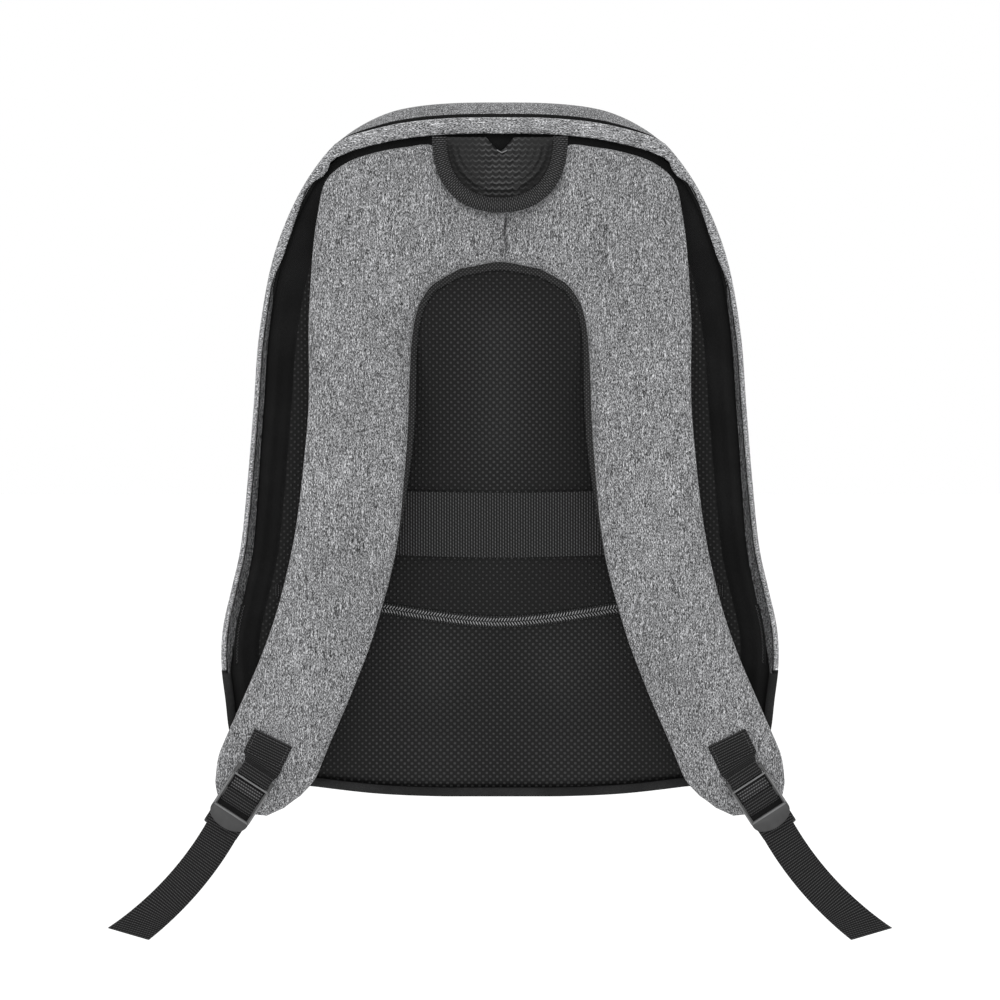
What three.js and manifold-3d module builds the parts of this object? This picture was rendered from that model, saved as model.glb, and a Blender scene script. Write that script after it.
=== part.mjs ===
import * as THREE from 'three';
import { mergeVertices } from 'three/addons/utils/BufferGeometryUtils.js';
import Module from 'manifold-3d';

// An anti theft backpack, seen from its harness side.
// Millimetres. X runs to the right, Y from the harness into the bag, Z up.
// The origin is the middle of the seam that holds the grab loop, on the plane of the back panel.

const wasm = await Module();
wasm.setup();

// Bag body
const bagHeight = 450;
const bagWidth = 362;
const bagDepth = 150;
const crownRise = 22.5; // crown of the bag above the grab loop's seam
const shellWall = 3;
const baseHeight = 82;
const baseFlat = 72; // width of the level face under the base
const seamGap = 0.3; // clearance between pieces that touch
const wallDepth = 58; // how deep the shell is straight, and where its crown is highest

// Rear rim, the channel under it and the back panel
const rimDepth = 27;
const rimWall = 2;
const rimProud = 2.5; // the rim's lip in front of the back panel
const rimDrop = 10; // the rear rim below the crown
const dropFades = 0.066; // the share of the height over which that drop fades at the sides
const lipFades = 0.1; // the same for the lip's width
const rimRound = 2;
const lipAtSide = 4.3;
const lipAtTop = 11;
const channelDepth = 36;
const channelWall = 2;
const panelThickness = 10;
const panelEdge = 2.5; // how far the panel's border falls back
const panelEdgeWidth = 6;

// Shoulder straps
const strapWidth = 67;
const strapThickness = 12;
const liningThickness = 2.5;
const liningOverhang = 5.5;
const strapStand = 24; // largest gap between a strap and the back panel
const sewnGap = 0.5; // a sewn piece in front of the panel
const restGap = 0.1; // the grab loop in front of the yoke

// Grab loop and the mesh behind it
const loopWidth = 78;
const loopDrop = 44;
const loopBand = 9.5;
const loopThickness = 3.5;
const handleMeshThickness = 10;

// Webbing, patches and ladder locks
const webbingWidth = 22;
const webbingThickness = 1.4;
const patchWidth = 27;
const patchLength = 29;
const patchThickness = 1.5;
const lockWidth = 27;
const lockThickness = 2.6;
const lockRail = 2.2;
const lockTopBar = 4;
const lockWindow = 13;
const lockMiddleBar = 7;
const lockSlot = 5.5;
const lockLowerBar = 3.2;
const lockTab = 8.5;
const lockStand = 6.5; // middle of the lock in front of the strap's pad
const degree = Math.PI / 180;
// How far these lean outwards from the vertical.
const lockTilt = 33 * degree;
const patchTilt = 26 * degree;
const tailTilt = { from: 27 * degree, to: 54 * degree };
const tailLength = 102;
const tailSkew = 17; // one edge of the tail is longer than the other
const skewFromShare = 0.6; // of the tail's length
const tailSteps = 12;
const hemLength = 9;
const barGap = 0.4; // between the lock's bars and the webbing over them
const patchGap = 0.6; // between the lock's top bar and the patch over it
const tailLean = 3; // how far back the tail's end swings

// Distances of the patch's bends from the lock's top bar.
const patchBends = { leaves: 8, climbs: 4.2, passes: 3, lands: 1.8, rests: 1, ends: 0.4, turns: 1.5 };
const patchNarrows = 5; // over this length to fit between the lock's rails
const patchShares = { middle: 0.6, climbs: 0.55 }; // of its length, and of its depth below the lock
// Distances of the adjuster webbing's bends from the lock's window, bars and tab.
const adjusterBends = {
  sewnFrom: 24, sewnTo: 10, dips: 6, passes: 22, below: 6, lowest: 12, returns: 9,
  rounds: 2.6, rises: 4, enters: 2.2, lands: 1, leaves: 1.2, falls: 1.4, sinks: 2.4, under: 3.3, meets: 0.5,
};
const backShares = { dips: 0.3, passes: 0.55, below: 0.95, lowest: 0.6, returns: 0.15 }; // of the way behind the pad
const windowRise = 0.9; // how far the webbing has risen where it rounds the window's edge
const halfRise = 0.6;

// Luggage band and zips
const bandHeight = 40;
const bandSpan = 233;
const bandStand = 6.2;
const bandThickness = 1.5;
const bandSag = 3.2;
const lowerSag = 1.6; // its lower edge sags this many times as much more
const pocketZipSpan = 291;
const pocketZipHeight = 7;
const zipRounding = 0.06; // how softly the pocket's zip turns in the middle
const sideZipHeight = 60;
const sideZipWidth = 3;
const sideZipInset = 9;
const zipThickness = 1.8;

// Half of the outline from the crown to the middle of the base.
// side is a share of half the width and down a share of the height.
const outlineRows = [
  { side: 0, down: 0 },
  { side: 0.17, down: 0.001 },
  { side: 0.305, down: 0.006 },
  { side: 0.395, down: 0.014 },
  { side: 0.495, down: 0.032 },
  { side: 0.585, down: 0.058 },
  { side: 0.7, down: 0.118 },
  { side: 0.804, down: 0.213 },
  { side: 0.861, down: 0.328 },
  { side: 0.884, down: 0.443 },
  { side: 0.908, down: 0.558 },
  { side: 0.932, down: 0.645 },
  { side: 0.964, down: 0.702 },
  { side: 0.994, down: 0.757 },
  { side: 1, down: 0.806 },
  { side: 0.985, down: 0.86 },
  { side: 0.968, down: 0.912 },
  { side: 0.928, down: 0.955 },
  { side: 0.83, down: 0.977 },
  { side: 0.66, down: 0.986 },
];

// How the bag grows deeper from the crown down, as shares of its depth and height.
const depthShares = { crown: 0.55, base: 0.94, deepestAt: 0.75 };
// How square the shell's rounding towards its front is, and the height that it rounds towards.
const squareness = { power: 6, blend: 0.6 };
const roundsTowards = 0.7; // a share of the height, from the crown down
// Rings of the shell, as shares of the way from that place to the outline.
const ringShares = [0.99, 0.96, 0.9, 0.8, 0.66, 0.48, 0.26];

// Sections of one half of the yoke and its strap, from the middle seam to the padded end.
// side and down place the middle of a section, as shares of half the bag's width and of its height.
// across and up are half of the section, towards the outer edge, as shares of the strap's width.
// stand is a share of strapStand, thick of strapThickness and lip of liningOverhang.
const strapRows = [
  { side: 0, down: 0.194, across: 0, up: 0.242, stand: 0, thick: 0.85, lip: 1 },
  { side: 0.155, down: 0.182, across: 0.043, up: 0.382, stand: 0, thick: 0.95, lip: 1 },
  { side: 0.204, down: 0.17, across: 0.048, up: 0.531, stand: 0, thick: 1, lip: 1 },
  { side: 0.229, down: 0.16, across: 0.03, up: 0.652, stand: 0, thick: 1, lip: 1 },
  { side: 0.295, down: 0.166, across: 0.12, up: 0.681, stand: 0, thick: 1, lip: 1 },
  { side: 0.359, down: 0.176, across: 0.237, up: 0.696, stand: 0, thick: 1, lip: 1 },
  { side: 0.421, down: 0.19, across: 0.357, up: 0.686, stand: 0, thick: 1, lip: 1 },
  { side: 0.461, down: 0.21, across: 0.435, up: 0.657, stand: 0.02, thick: 1, lip: 1 },
  { side: 0.482, down: 0.247, across: 0.464, up: 0.565, stand: 0.1, thick: 1, lip: 1 },
  { side: 0.502, down: 0.35, across: 0.488, up: 0.338, stand: 0.5, thick: 1, lip: 1 },
  { side: 0.511, down: 0.486, across: 0.483, up: 0.097, stand: 0.92, thick: 1, lip: 0.7 },
  { side: 0.548, down: 0.623, across: 0.49, up: 0.08, stand: 1, thick: 1, lip: 0.1 },
  { side: 0.607, down: 0.724, across: 0.464, up: 0.145, stand: 0.9, thick: 1, lip: 0 },
  { side: 0.686, down: 0.816, across: 0.44, up: 0.18, stand: 0.7, thick: 1, lip: 0 },
  { side: 0.773, down: 0.898, across: 0.449, up: 0.155, stand: 0.55, thick: 1, lip: 0 },
  { side: 0.829, down: 0.951, across: 0.464, up: 0.126, stand: 0.55, thick: 1, lip: 0 },
  { side: 0.866, down: 0.986, across: 0.41, up: 0.07, stand: 0.55, thick: 0.92, lip: 0 },
  { side: 0.888, down: 1.008, across: 0.31, up: 0.04, stand: 0.55, thick: 0.7, lip: 0 },
  { side: 0.893, down: 1.022, across: 0.16, up: 0.02, stand: 0.55, thick: 0.35, lip: 0 },
];
const lockShares = { side: 0.8774, down: 0.968 }; // where the patch meets the lock's window
const lockAtShare = 0.87; // the lock's place along the strap

// Heights of the trims on the back panel, as shares of the bag's height.
const bandTopShare = 0.554;
const pocketZipShares = { ends: 0.702, middle: 0.747 };
const sideZipShare = 0.715;

const black = { color: 0x1d1d1f, roughness: 0.9, metalness: 0 };
const mesh = { color: 0x232325, roughness: 0.95, metalness: 0 };
const grey = { color: 0x84868a, roughness: 0.9, metalness: 0 };
const plastic = { color: 0x2c2c2e, roughness: 0.45, metalness: 0 };

const backpack = new THREE.Group();
const crown = crownRise;
const bottom = crown - bagHeight;
const middle = crown - bagHeight / 2;
const baseSeam = bottom + baseHeight;

function mix(a, b, share) {
  return a + (b - a) * share;
}

function smooth(share) {
  const s = Math.min(1, Math.max(0, share));
  return s * s * (3 - 2 * s);
}

function heightAt(down) {
  return crown - down * bagHeight;
}

function place(geometry, name, finish) {
  const piece = new THREE.Mesh(geometry, new THREE.MeshStandardMaterial(finish));
  piece.name = name;
  backpack.add(piece);
}

function signedVolume(points, index) {
  let volume = 0;
  for (let i = 0; i < index.length; i += 3) {
    const [a, b, c] = [points[index[i]], points[index[i + 1]], points[index[i + 2]]];
    volume += a.dot(b.clone().cross(c)) / 6;
  }
  return volume;
}

function closedBody(points, index) {
  const faces = signedVolume(points, index) < 0 ? index.slice().reverse() : index;
  const geometry = new THREE.BufferGeometry();
  geometry.setAttribute('position', new THREE.Float32BufferAttribute(points.flatMap((p) => [p.x, p.y, p.z]), 3));
  geometry.setIndex(faces);
  geometry.computeVertexNormals();
  return geometry;
}

// A closed body through rings of equally many points. Its two ends are fans, or the ends meet.
function skin(rings, endsMeet = false) {
  const size = rings[0].length;
  const points = rings.flat();
  const index = [];
  const last = endsMeet ? rings.length : rings.length - 1;
  for (let r = 0; r < last; r += 1) {
    const next = ((r + 1) % rings.length) * size;
    for (let k = 0; k < size; k += 1) {
      const turn = (k + 1) % size;
      index.push(r * size + k, next + k, next + turn);
      index.push(r * size + k, next + turn, r * size + turn);
    }
  }
  if (!endsMeet) {
    [0, rings.length - 1].forEach((r) => {
      const centre = rings[r].reduce((sum, p) => sum.add(p), new THREE.Vector3()).divideScalar(size);
      points.push(centre);
      for (let k = 0; k < size; k += 1) {
        const edge = [r * size + k, r * size + ((k + 1) % size)];
        index.push(points.length - 1, edge[r === 0 ? 0 : 1], edge[r === 0 ? 1 : 0]);
      }
    });
  }
  return closedBody(points, index);
}

function welded(geometry) {
  const bare = geometry.clone();
  bare.deleteAttribute('normal');
  bare.deleteAttribute('uv');
  return mergeVertices(bare, 1e-4);
}

function toSolid(geometry) {
  const merged = welded(geometry);
  return new wasm.Manifold(new wasm.Mesh({
    numProp: 3,
    vertProperties: new Float32Array(merged.attributes.position.array),
    triVerts: new Uint32Array(merged.index.array),
  }));
}

function toGeometry(solid) {
  const result = solid.getMesh();
  const geometry = new THREE.BufferGeometry();
  geometry.setAttribute('position', new THREE.BufferAttribute(result.vertProperties, 3));
  geometry.setIndex(new THREE.BufferAttribute(result.triVerts, 1));
  geometry.computeVertexNormals();
  return geometry;
}

// A block that reaches past the bag on every side except the ones that are given.
function block({ yFrom = -bagDepth, zFrom = bottom - bagHeight, zTo = crown + bagHeight }) {
  const yTo = 2 * bagDepth;
  const box = new THREE.BoxGeometry(2 * bagWidth, yTo - yFrom, zTo - zFrom);
  box.translate(0, (yFrom + yTo) / 2, (zFrom + zTo) / 2);
  return toSolid(box);
}

// The outline as evenly spaced stations with their outward directions.
const stationCount = 72;

const besideFlat = { ratio: 2.2, down: 0.996 }; // the outline's last row before the flat one

function outlineStations() {
  const flatRow = { side: baseFlat / bagWidth, down: 1 };
  const rows = [...outlineRows, { side: besideFlat.ratio * flatRow.side, down: besideFlat.down }, flatRow];
  const right = rows.map((row) => new THREE.Vector3(row.side * bagWidth / 2, 0, heightAt(row.down)));
  const left = right.slice(1).reverse().map((p) => new THREE.Vector3(-p.x, 0, p.z));
  const points = new THREE.CatmullRomCurve3([...right, ...left], true).getSpacedPoints(stationCount);
  points.pop();
  points.forEach((p) => {
    p.z = Math.max(p.z, bottom);
  });
  return points;
}

const shellLine = outlineStations();
const rearLine = shellLine.map((p) => {
  const down = (crown - p.z) / bagHeight;
  return new THREE.Vector3(p.x, 0, p.z - rimDrop * (1 - smooth(down / dropFades)));
});

function outward(line, i) {
  const before = line[(i + line.length - 1) % line.length];
  const after = line[(i + 1) % line.length];
  const along = after.clone().sub(before).normalize();
  const side = new THREE.Vector3(along.z, 0, -along.x);
  return side.x * line[i].x + side.z * (line[i].z - middle) > 0 ? side : side.negate();
}

const shellOut = shellLine.map((p, i) => outward(shellLine, i));
const rearOut = rearLine.map((p, i) => outward(rearLine, i));

// The wall rises at the top from the rear rim's line to the crown's.
function wallPoint(i, inset, y) {
  const share = smooth((y - rimDepth) / (wallDepth - rimDepth));
  const point = rearLine[i].clone().lerp(shellLine[i], share);
  point.addScaledVector(rearOut[i].clone().lerp(shellOut[i], share).normalize(), -inset);
  point.y = y;
  return point;
}

function lipAt(i) {
  const down = (crown - rimDrop - rearLine[i].z) / bagHeight;
  return mix(lipAtTop, lipAtSide, smooth(down / lipFades));
}

function depthAt(z) {
  const down = (crown - z) / bagHeight;
  const { crown: top, base, deepestAt } = depthShares;
  const above = (deepestAt - down) / deepestAt;
  const below = (down - deepestAt) / (1 - deepestAt);
  const loss = down < deepestAt ? (1 - top) * above ** 2 : (1 - base) * below ** 2;
  return bagDepth * (1 - loss);
}

// One ring of the bag's rounded front, at a share of the outline.
function frontRing(inset, reach) {
  return shellLine.map((p, i) => {
    const start = p.clone().addScaledVector(shellOut[i], -inset);
    const centre = heightAt(roundsTowards);
    const z = centre + (start.z - centre) * reach;
    const share = (1 - reach ** squareness.power) ** squareness.blend;
    return new THREE.Vector3(start.x * reach, mix(wallDepth, depthAt(z) - inset, share), z);
  });
}

function cup() {
  const wallDepths = [0, channelDepth, mix(channelDepth, wallDepth, 0.5), wallDepth];
  const half = (inset) => wallDepths
    .map((y) => shellLine.map((p, i) => wallPoint(i, inset, y)))
    .concat(ringShares.map((reach) => frontRing(inset, reach)));
  return toSolid(skin([...half(0).reverse(), ...half(shellWall)]));
}

function shellPieces() {
  const whole = cup();
  const shell = whole.intersect(block({ yFrom: channelDepth + seamGap, zFrom: baseSeam + seamGap / 2 }));
  const base = whole.intersect(block({ zTo: baseSeam - seamGap / 2 }));
  place(toGeometry(shell), 'main_shell', grey);
  place(toGeometry(base), 'base_shell', black);
}

// A ring around the outline whose section is a list of insets and depths, cut off above the base.
function ringAboveBase(sectionAt) {
  const rings = shellLine.map((p, i) => sectionAt(i).map(({ inset, y }) => wallPoint(i, inset, y)));
  return toGeometry(toSolid(skin(rings, true)).intersect(block({ zFrom: baseSeam + seamGap / 2 })));
}

function rearRim() {
  return ringAboveBase((i) => [
    { inset: 0, y: rimDepth },
    { inset: 0, y: rimRound },
    { inset: rimRound / 3, y: -rimProud / 2 },
    { inset: rimWall, y: -rimProud },
    { inset: lipAt(i), y: -rimProud },
    { inset: lipAt(i), y: rimWall - rimProud },
    { inset: rimWall, y: rimWall - rimProud },
    { inset: rimWall, y: rimDepth },
  ]);
}

function zipChannel() {
  const outer = rimWall + seamGap;
  const inner = outer + channelWall;
  return ringAboveBase(() => [
    { inset: outer, y: 0 },
    { inset: outer, y: rimDepth },
    { inset: outer, y: mix(rimDepth, channelDepth, 0.5) },
    { inset: outer, y: channelDepth },
    { inset: inner, y: channelDepth },
    { inset: inner, y: mix(rimDepth, channelDepth, 0.5) },
    { inset: inner, y: rimDepth },
    { inset: inner, y: 0 },
  ]);
}

function backPanel() {
  const rows = [
    { more: panelEdgeWidth, y: panelThickness },
    { more: 0, y: panelThickness - panelEdge },
    { more: 0, y: panelEdge },
    { more: 0.3 * panelEdgeWidth, y: 0.3 * panelEdge },
    { more: panelEdgeWidth, y: 0 },
  ];
  const clear = rimWall + channelWall + 2 * seamGap;
  const rings = rows.map(({ more, y }) => rearLine.map((p, i) => {
    const inset = Math.max(lipAt(i) + seamGap, clear) + more;
    const point = p.clone().addScaledVector(rearOut[i], -inset);
    point.y = y;
    return point;
  }));
  return skin(rings);
}

// The middle, half section, stand, thickness and lip of a strap at a share of its length.
// Each curve starts on the other side of the middle seam, so that it crosses the seam level.
const seamRow = { ...strapRows[1], side: -strapRows[1].side, across: -strapRows[1].across };
const curveRows = [seamRow, ...strapRows];
const strapMiddle = new THREE.CatmullRomCurve3(curveRows.map((r) => new THREE.Vector3(r.side, r.down, r.stand)));
const strapHalf = new THREE.CatmullRomCurve3(curveRows.map((r) => new THREE.Vector3(r.across, r.up, r.thick)));
const strapSteps = 2 * (strapRows.length - 1);

function strapAt(share) {
  const onCurve = (1 + share * (strapRows.length - 1)) / strapRows.length;
  const place = strapMiddle.getPoint(onCurve);
  const half = strapHalf.getPoint(onCurve);
  const row = Math.min(strapRows.length - 2, Math.floor(share * (strapRows.length - 1)));
  const lip = mix(strapRows[row].lip, strapRows[row + 1].lip, share * (strapRows.length - 1) - row);
  return {
    x: place.x * bagWidth / 2,
    z: heightAt(place.y),
    half: new THREE.Vector2(half.x * strapWidth, half.y * strapWidth),
    back: -sewnGap - Math.max(0, place.z) * strapStand,
    thick: half.z * strapThickness,
    lip: lip * liningOverhang,
  };
}

// A point of a strap's section. span runs from -1 at the inner edge to 1 at the outer one.
function strapPoint(at, span, rise, turned, lip = 0) {
  const inner = span < 0 ? lip / at.half.length() : 0;
  const reach = span * (1 + inner);
  const seam = seamGap / 2;
  const x = Math.max(seam, at.x + at.half.x * reach);
  return new THREE.Vector3(turned * x, at.back - rise, at.z + at.half.y * reach);
}

function strapPad(turned) {
  const rings = [];
  for (let step = 0; step <= strapSteps; step += 1) {
    const at = strapAt(step / strapSteps);
    const ring = [];
    for (let a = 0; a <= 10; a += 1) {
      const angle = a * Math.PI / 10;
      const span = Math.sign(Math.cos(angle)) * Math.abs(Math.cos(angle)) ** 0.5;
      const rise = liningThickness + seamGap + at.thick * Math.sin(angle) ** 0.5;
      ring.push(strapPoint(at, span, rise, turned));
    }
    [-0.5, 0, 0.5].forEach((span) => ring.push(strapPoint(at, span, liningThickness + seamGap, turned)));
    rings.push(ring);
  }
  return skin(rings);
}

function strapLining(turned) {
  const corners = [
    { span: -1, rise: 0.3 },
    { span: -0.95, rise: 1 },
    { span: 0.9, rise: 1 },
    { span: 0.97, rise: 0.5 },
    { span: 0.9, rise: 0 },
    { span: -0.95, rise: 0 },
  ];
  const rings = [];
  for (let step = 0; step <= strapSteps; step += 1) {
    const at = strapAt(step / strapSteps);
    rings.push(corners.map((c) => strapPoint(at, c.span, c.rise * liningThickness, turned, at.lip)));
  }
  return skin(rings);
}

// A flat band along stations that hold a middle, an across and a face direction.
function ribbon(stations) {
  const corners = [[1, 1], [-1, 1], [-1, -1], [1, -1]];
  return skin(stations.map((s) => corners.map(([side, face]) => {
    const point = s.middle.clone().addScaledVector(s.across, side * s.width / 2);
    point.addScaledVector(s.facing, face * s.thickness / 2);
    if (s.skew) {
      point.addScaledVector(s.skew, side / 2);
    }
    return point;
  })));
}

const loopSteps = 22;
const loopBack = -sewnGap - liningThickness - seamGap - strapThickness - restGap;

function loopPoint(angle, grow) {
  const x = (loopWidth / 2 + grow) * Math.sign(Math.cos(angle)) * Math.abs(Math.cos(angle)) ** (2 / 3);
  return new THREE.Vector3(x, 0, -(loopDrop + grow) * Math.sin(angle) ** (2 / 3));
}

function grabLoop() {
  const rings = [];
  for (let step = 0; step <= loopSteps; step += 1) {
    const angle = step * Math.PI / loopSteps;
    const inside = loopPoint(angle, -loopBand / 2);
    const outside = loopPoint(angle, loopBand / 2);
    const section = [
      { share: 0, rise: 0.2 },
      { share: 0, rise: 0.8 },
      { share: 0.15, rise: 1 },
      { share: 0.85, rise: 1 },
      { share: 1, rise: 0.8 },
      { share: 1, rise: 0.2 },
      { share: 0.85, rise: 0 },
      { share: 0.15, rise: 0 },
    ];
    rings.push(section.map(({ share, rise }) => {
      const point = inside.clone().lerp(outside, share);
      point.y = loopBack - rise * loopThickness;
      return point;
    }));
  }
  return skin(rings);
}

function handleMesh() {
  const rows = [
    { shrink: 1.5, depth: 0 },
    { shrink: 0, depth: 0.1 },
    { shrink: 0, depth: 0.8 },
    { shrink: 2.5, depth: 1 },
  ];
  const rings = rows.map(({ shrink, depth }) => {
    const ring = [];
    for (let step = 0; step <= loopSteps; step += 1) {
      const point = loopPoint(step * Math.PI / loopSteps, -loopBand / 4 - shrink);
      point.z = Math.min(point.z, -shrink - seamGap);
      point.y = -seamGap - depth * handleMeshThickness;
      ring.push(point);
    }
    return ring;
  });
  return skin(rings);
}

function luggageBand() {
  const half = bandSpan / 2;
  const rows = [
    { x: -1, stand: 0 },
    { x: -0.96, stand: 0.12 },
    { x: -0.88, stand: 0.9 },
    { x: -0.8, stand: 1 },
    { x: -0.4, stand: 1 },
    { x: 0, stand: 1 },
  ];
  const path = [...rows, ...rows.slice(0, -1).reverse().map((r) => ({ x: -r.x, stand: r.stand }))];
  const top = heightAt(bandTopShare);
  return skin(path.map(({ x, stand }) => {
    const sag = bandSag * (1 - x * x);
    const back = -sewnGap - stand * (bandStand - sewnGap);
    const high = top - sag;
    const low = top - bandHeight - lowerSag * sag;
    return [[back, high], [back - bandThickness, high], [back - bandThickness, low], [back, low]]
      .map(([y, z]) => new THREE.Vector3(x * half, y, z));
  }));
}

function pocketZip() {
  const steps = 16;
  const stations = [];
  for (let step = 0; step <= steps; step += 1) {
    const x = mix(-1, 1, step / steps);
    const level = Math.sqrt(zipRounding);
    const rise = (Math.sqrt(x * x + zipRounding) - level) / (Math.sqrt(1 + zipRounding) - level);
    stations.push({
      middle: new THREE.Vector3(
        x * pocketZipSpan / 2,
        -sewnGap - zipThickness / 2,
        heightAt(mix(pocketZipShares.middle, pocketZipShares.ends, rise)),
      ),
      across: new THREE.Vector3(0, 0, 1),
      facing: new THREE.Vector3(0, -1, 0),
      width: pocketZipHeight,
      thickness: zipThickness,
    });
  }
  return ribbon(stations);
}

function sideZip(turned) {
  const top = heightAt(sideZipShare);
  const near = shellLine
    .map((p, i) => wallPoint(i, sideZipInset, -sewnGap - zipThickness / 2))
    .filter((p) => p.x * turned > 0);
  const stations = [];
  for (let step = 0; step <= 4; step += 1) {
    const z = top - step * sideZipHeight / 4;
    const above = near.filter((p) => p.z >= z).sort((a, b) => a.z - b.z)[0];
    const below = near.filter((p) => p.z < z && Math.abs(p.x) > bagWidth / 4).sort((a, b) => b.z - a.z)[0];
    stations.push({
      middle: above.clone().lerp(below, (above.z - z) / (above.z - below.z)),
      across: new THREE.Vector3(1, 0, 0),
      facing: new THREE.Vector3(0, -1, 0),
      width: sideZipWidth,
      thickness: zipThickness,
    });
  }
  return ribbon(stations);
}

// The ladder lock's own axes: along runs down the strap's end, face towards the wearer.
function lockAxes(turned, tilt = lockTilt) {
  const end = strapAt(lockAtShare);
  const face = end.back - liningThickness - seamGap - strapThickness - lockStand;
  return {
    origin: new THREE.Vector3(turned * lockShares.side * bagWidth / 2, face, heightAt(lockShares.down)),
    along: new THREE.Vector3(turned * Math.sin(tilt), 0, -Math.cos(tilt)),
    across: new THREE.Vector3(turned * Math.cos(tilt), 0, Math.sin(tilt)),
    facing: new THREE.Vector3(0, -1, 0),
  };
}

function onLock(axes, along, rise) {
  return axes.origin.clone().addScaledVector(axes.along, along).addScaledVector(axes.facing, rise);
}

// Turns a path of distances along and above the lock into stations of a flat band.
function bandStations(axesAt, path, widthAt, thickness) {
  const curve = new THREE.CatmullRomCurve3(path.map(([along, rise]) => new THREE.Vector3(along, rise, 0)));
  const steps = 2 * (path.length - 1);
  const stations = [];
  for (let step = 0; step <= steps; step += 1) {
    const point = curve.getPoint(step / steps);
    const tangent = curve.getTangent(step / steps);
    const axes = axesAt(point.x);
    stations.push({
      middle: onLock(axes, point.x, point.y),
      across: axes.across,
      facing: axes.along.clone().multiplyScalar(-tangent.y).addScaledVector(axes.facing, tangent.x),
      width: widthAt(point.x),
      thickness,
    });
  }
  return stations;
}

const overBar = lockThickness / 2 + barGap + webbingThickness / 2;
const barStart = lockWindow;
const slotStart = barStart + lockMiddleBar;
const lowerBarStart = slotStart + lockSlot;
const tabStart = lowerBarStart + lockLowerBar;

function ladderLock(turned) {
  const half = lockWidth / 2;
  const shape = new THREE.Shape();
  shape.moveTo(-half, -lockTopBar);
  shape.lineTo(half, -lockTopBar);
  shape.lineTo(half, tabStart);
  shape.absellipse(0, tabStart, half, lockTab, 0, Math.PI, false);
  shape.lineTo(-half, -lockTopBar);
  const clear = half - lockRail;
  [[0, barStart], [slotStart, lowerBarStart]].forEach(([from, to]) => {
    const hole = new THREE.Path();
    hole.moveTo(-clear, from);
    hole.lineTo(-clear, to);
    hole.lineTo(clear, to);
    hole.lineTo(clear, from);
    hole.lineTo(-clear, from);
    shape.holes.push(hole);
  });
  const geometry = new THREE.ExtrudeGeometry(shape, { depth: lockThickness, bevelEnabled: false, curveSegments: 12 });
  geometry.translate(0, 0, -lockThickness / 2);
  const axes = lockAxes(turned);
  const turn = new THREE.Matrix4().makeBasis(axes.across, axes.along, axes.facing);
  geometry.applyMatrix4(turn.setPosition(axes.origin));
  if (turn.determinant() < 0) {
    const mirrored = welded(geometry);
    mirrored.setIndex(Array.from(mirrored.index.array).reverse());
    return mirrored;
  }
  return geometry;
}

function webbingPatch(turned) {
  const onPad = -lockStand + barGap + patchThickness / 2;
  const over = lockThickness / 2 + patchGap + patchThickness / 2;
  const { leaves, climbs, passes, lands, rests, ends, turns } = patchBends;
  const path = [
    [-patchLength, onPad],
    [-patchShares.middle * patchLength, onPad],
    [-lockTopBar - leaves, onPad],
    [-lockTopBar - climbs, patchShares.climbs * onPad],
    [-lockTopBar - passes, 0],
    [-lockTopBar - lands, over - seamGap],
    [-lockTopBar + rests, over + restGap],
    [-ends, over],
    [turns, over / 2],
    [turns, -over / 2],
    [-ends, -over],
    [-lockTopBar + rests, -over - restGap],
  ];
  const inLock = lockWidth - 2 * lockRail - 2 * seamGap;
  const widthAt = (along) => mix(patchWidth, inLock, smooth((along + lockTopBar + leaves) / patchNarrows));
  const turnedShare = (along) => smooth((-along - lockTopBar - climbs) / patchNarrows);
  const axesAt = (along) => lockAxes(turned, mix(lockTilt, patchTilt, turnedShare(along)));
  return ribbon(bandStations(axesAt, path, widthAt, patchThickness));
}

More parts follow.
